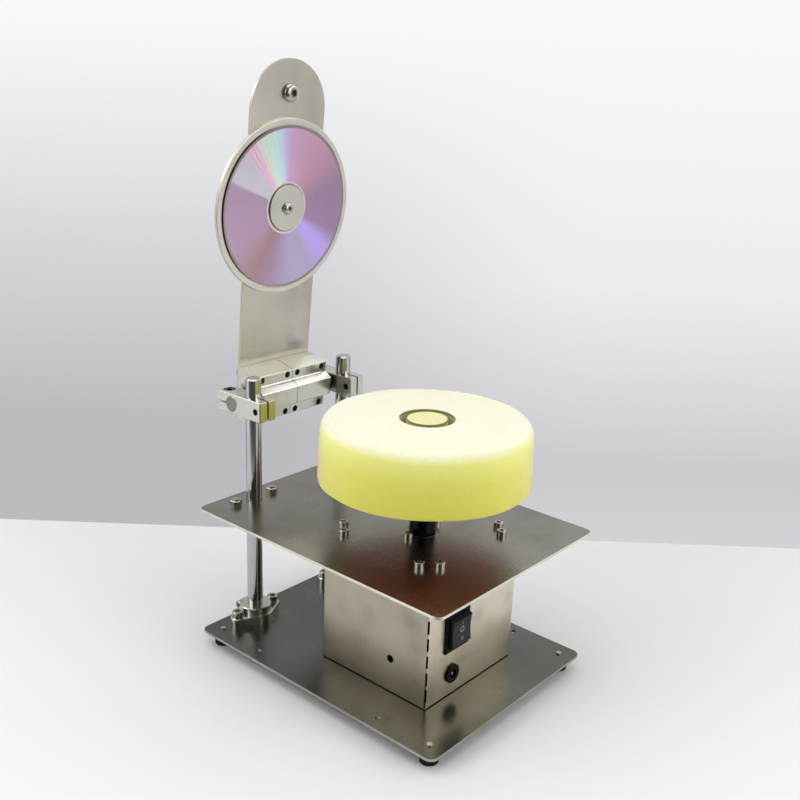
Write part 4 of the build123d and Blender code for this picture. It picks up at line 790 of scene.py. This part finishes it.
# %% [markdown]
# ## The hook tape
#
# A round of hook tape is glued to the backing plate, and the foam clings to it. From the side it
# shows as a thin dark line with a rough edge. A plain disc would be too crisp, so little hooks
# stand along its rim.

# %% The tape's weave
hook_tape = moulded("hook_tape", srgb(30, 30, 32), 0.8, 700.0, 0.0003, Sheen_Weight=0.3)
tape_low, tape_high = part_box("hook_layer")
TAPE_R = (tape_high.x - tape_low.x) / 2
HOOK_H, HOOK_OUT = 0.5 * MM, 0.45 * MM
weave_z = tape_high.z - HOOK_H
weave = [(0, tape_low.z), (TAPE_R - HOOK_OUT, tape_low.z), (TAPE_R - HOOK_OUT, weave_z),
         (0, weave_z)]
tape = turned("hook_tape", finer(weave, 4 * MM), pad_axis, "spindle", hook_tape,
              160)
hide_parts("hook_layer")
print("tape", round(TAPE_R, 4), "m in radius")

# %% Three rows of hooks along its rim
HOOK_COUNT, FEWER = 220, 12     # in the outer row, and fewer in each row further in
HALF_FOOT = 0.18 * MM           # a hook is a pyramid on a square foot
ROOT_IN, TIP_OUT = 0.3 * MM, 0.25 * MM
hooks = bmesh.new()
for row, reach in enumerate((HOOK_OUT, 2.4 * MM, 4.6 * MM)):
    count = HOOK_COUNT - FEWER * row
    for i in range(count):
        a = 2 * math.pi * (i + 0.5 * row) / count
        way = Vector((math.cos(a), math.sin(a), 0))
        side_way = Vector((-way.y, way.x, 0))
        root = Vector((*pad_axis, weave_z)) + way * (TAPE_R - reach - ROOT_IN)
        tip = root + Vector((0, 0, HOOK_H * 0.95)) + way * TIP_OUT
        corners = [hooks.verts.new(root + side_way * s * HALF_FOOT + way * d * HALF_FOOT)
                   for s, d in ((-1, -1), (1, -1), (1, 1), (-1, 1))]
        point = hooks.verts.new(tip)
        hooks.faces.new(list(reversed(corners)))
        for k in range(4):
            hooks.faces.new((corners[k], corners[(k + 1) % 4], point))
hook_data = bpy.data.meshes.new("tape_hooks")
hooks.to_mesh(hook_data)
hook_data.materials.append(hook_tape)
tape_hooks = bpy.data.objects.new("tape_hooks", hook_data)
bpy.context.scene.collection.objects.link(tape_hooks)
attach(tape_hooks, "spindle")
print("hooks", len(hook_data.polygons) // 5)

# %% [markdown]
# ## Marks on the switch
#
# The rocker carries a pale circle for off, one bar above it and two bars below. They are pressed
# into the plastic and painted. A picture texture would be the usual way; here each mark is a thin
# raised shape that follows the hollow of the rocker, so that it is real geometry and rocks with it.

# %% The rocker's own surface
PIVOT = Vector((-19.5 * MM, -88.75 * MM, 63.4 * MM))
DIP, PROUD = 5.9 * MM, 6.9 * MM     # from the pivot out to the face's middle and to its ends
REACH = 9.8 * MM                    # from the pivot up to those ends
HOLLOW_R = (REACH ** 2 + (PROUD - DIP) ** 2) / (2 * (PROUD - DIP))


def on_rocker(x, y, lift):
    """The point at x across and y up the rocker's face, lifted off it."""
    out = DIP + HOLLOW_R - math.sqrt(HOLLOW_R ** 2 - y ** 2) + lift
    return PIVOT + Vector((x, -out, y))


print("hollow's radius", round(HOLLOW_R, 4))


# %% A flat mark from an outline
def mark(name, outer, inner=None):
    """A raised mark: a closed outline on the rocker, or a ring between two outlines."""
    mesh = bmesh.new()
    lift, sink = 0.06 * MM, -0.1 * MM   # its face above the plastic, its back below

    def loop(points, height):
        return [mesh.verts.new(on_rocker(x, y, height)) for x, y in points]

    n = len(outer)
    top, bottom = loop(outer, lift), loop(outer, sink)
    if inner:
        top_in, bottom_in = loop(inner, lift), loop(inner, sink)
        for i in range(n):
            j = (i + 1) % n
            mesh.faces.new((top[i], top[j], top_in[j], top_in[i]))
            mesh.faces.new((bottom[j], bottom[i], bottom_in[i], bottom_in[j]))
            mesh.faces.new((top_in[i], top_in[j], bottom_in[j], bottom_in[i]))
    else:
        mesh.faces.new(top)
        mesh.faces.new(list(reversed(bottom)))
    for i in range(n):
        j = (i + 1) % n
        mesh.faces.new((top[j], top[i], bottom[i], bottom[j]))
    bmesh.ops.recalc_face_normals(mesh, faces=mesh.faces)
    data = bpy.data.meshes.new(name)
    mesh.to_mesh(data)
    data.materials.append(mark_paint)
    made = bpy.data.objects.new(name, data)
    bpy.context.scene.collection.objects.link(made)
    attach(made, "rocker")
    return made


# %% The circle and the bars
OFF_X, OFF_Y = 0.5 * MM, 0.9 * MM
OFF_OUTER, OFF_INNER = 2.3 * MM, 1.5 * MM
circle = [(math.cos(2 * math.pi * i / 40), math.sin(2 * math.pi * i / 40)) for i in range(40)]
off_mark = mark("off_mark", [(OFF_X + OFF_OUTER * x, OFF_Y + OFF_OUTER * y) for x, y in circle],
                [(OFF_X + OFF_INNER * x, OFF_Y + OFF_INNER * y) for x, y in circle])
bar = [(-0.3, -1.2), (0.3, -1.2), (0.3, 1.2), (-0.3, 1.2)]      # in millimetres, as the places are
for name, x, y in (("one_mark", 0.5, 6.0), ("two_mark_a", -0.2, -5.8), ("two_mark_b", 1.2, -5.8)):
    mark(name, [((x + dx) * MM, (y + dy) * MM) for dx, dy in bar])
print("marks", off_mark.name, "and three bars")

# %% [markdown]
# ## Bearing seals
#
# Each linear bearing has a thin black wiper at both ends. The CAD model leaves it out. It is a flat
# ring with a rounded lip on the shaft, and it sits on the sleeve's end inside the block.

# %% The wiper's section, turned around the cross shaft
shaft_low, shaft_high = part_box("cross_shaft")
SHAFT_Y, SHAFT_Z = (shaft_low.y + shaft_high.y) / 2, (shaft_low.z + shaft_high.z) / 2
LIP = [(6.08, 0.0), (6.08, 0.18), (6.3, 0.25),      # radius and thickness in millimetres
       (8.6, 0.25), (9.0, 0.12), (9.0, 0.0)]
print("shaft at", round(SHAFT_Y, 4), round(SHAFT_Z, 4))


def wiper(name, x, outward):
    """A rubber ring around the cross shaft at x, its face towards outward, -1 or 1."""
    mesh = bmesh.new()
    rings = []
    for i in range(64):
        a = 2 * math.pi * i / 64
        rings.append([mesh.verts.new(Vector((x + outward * h * MM, SHAFT_Y + r * MM * math.cos(a),
                                             SHAFT_Z + r * MM * math.sin(a)))) for r, h in LIP])
    for a, b in zip(rings, rings[1:] + rings[:1]):
        for i in range(len(LIP)):
            j = (i + 1) % len(LIP)
            mesh.faces.new((a[i], a[j], b[j], b[i]))
    bmesh.ops.recalc_face_normals(mesh, faces=mesh.faces)
    data = bpy.data.meshes.new(name)
    mesh.to_mesh(data)
    data.materials.append(rubber)
    made = bpy.data.objects.new(name, data)
    bpy.context.scene.collection.objects.link(made)
    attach(made, "bearings")


# %% One wiper at each end of both bearings
for side in ("left", "right"):
    sleeve_low, sleeve_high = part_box(f"linear_bearing_{side}")
    wiper(f"wiper_{side}_outer", sleeve_low.x, -1)
    wiper(f"wiper_{side}_inner", sleeve_high.x, 1)
print("wipers on", round(sleeve_low.x, 4), round(sleeve_high.x, 4))
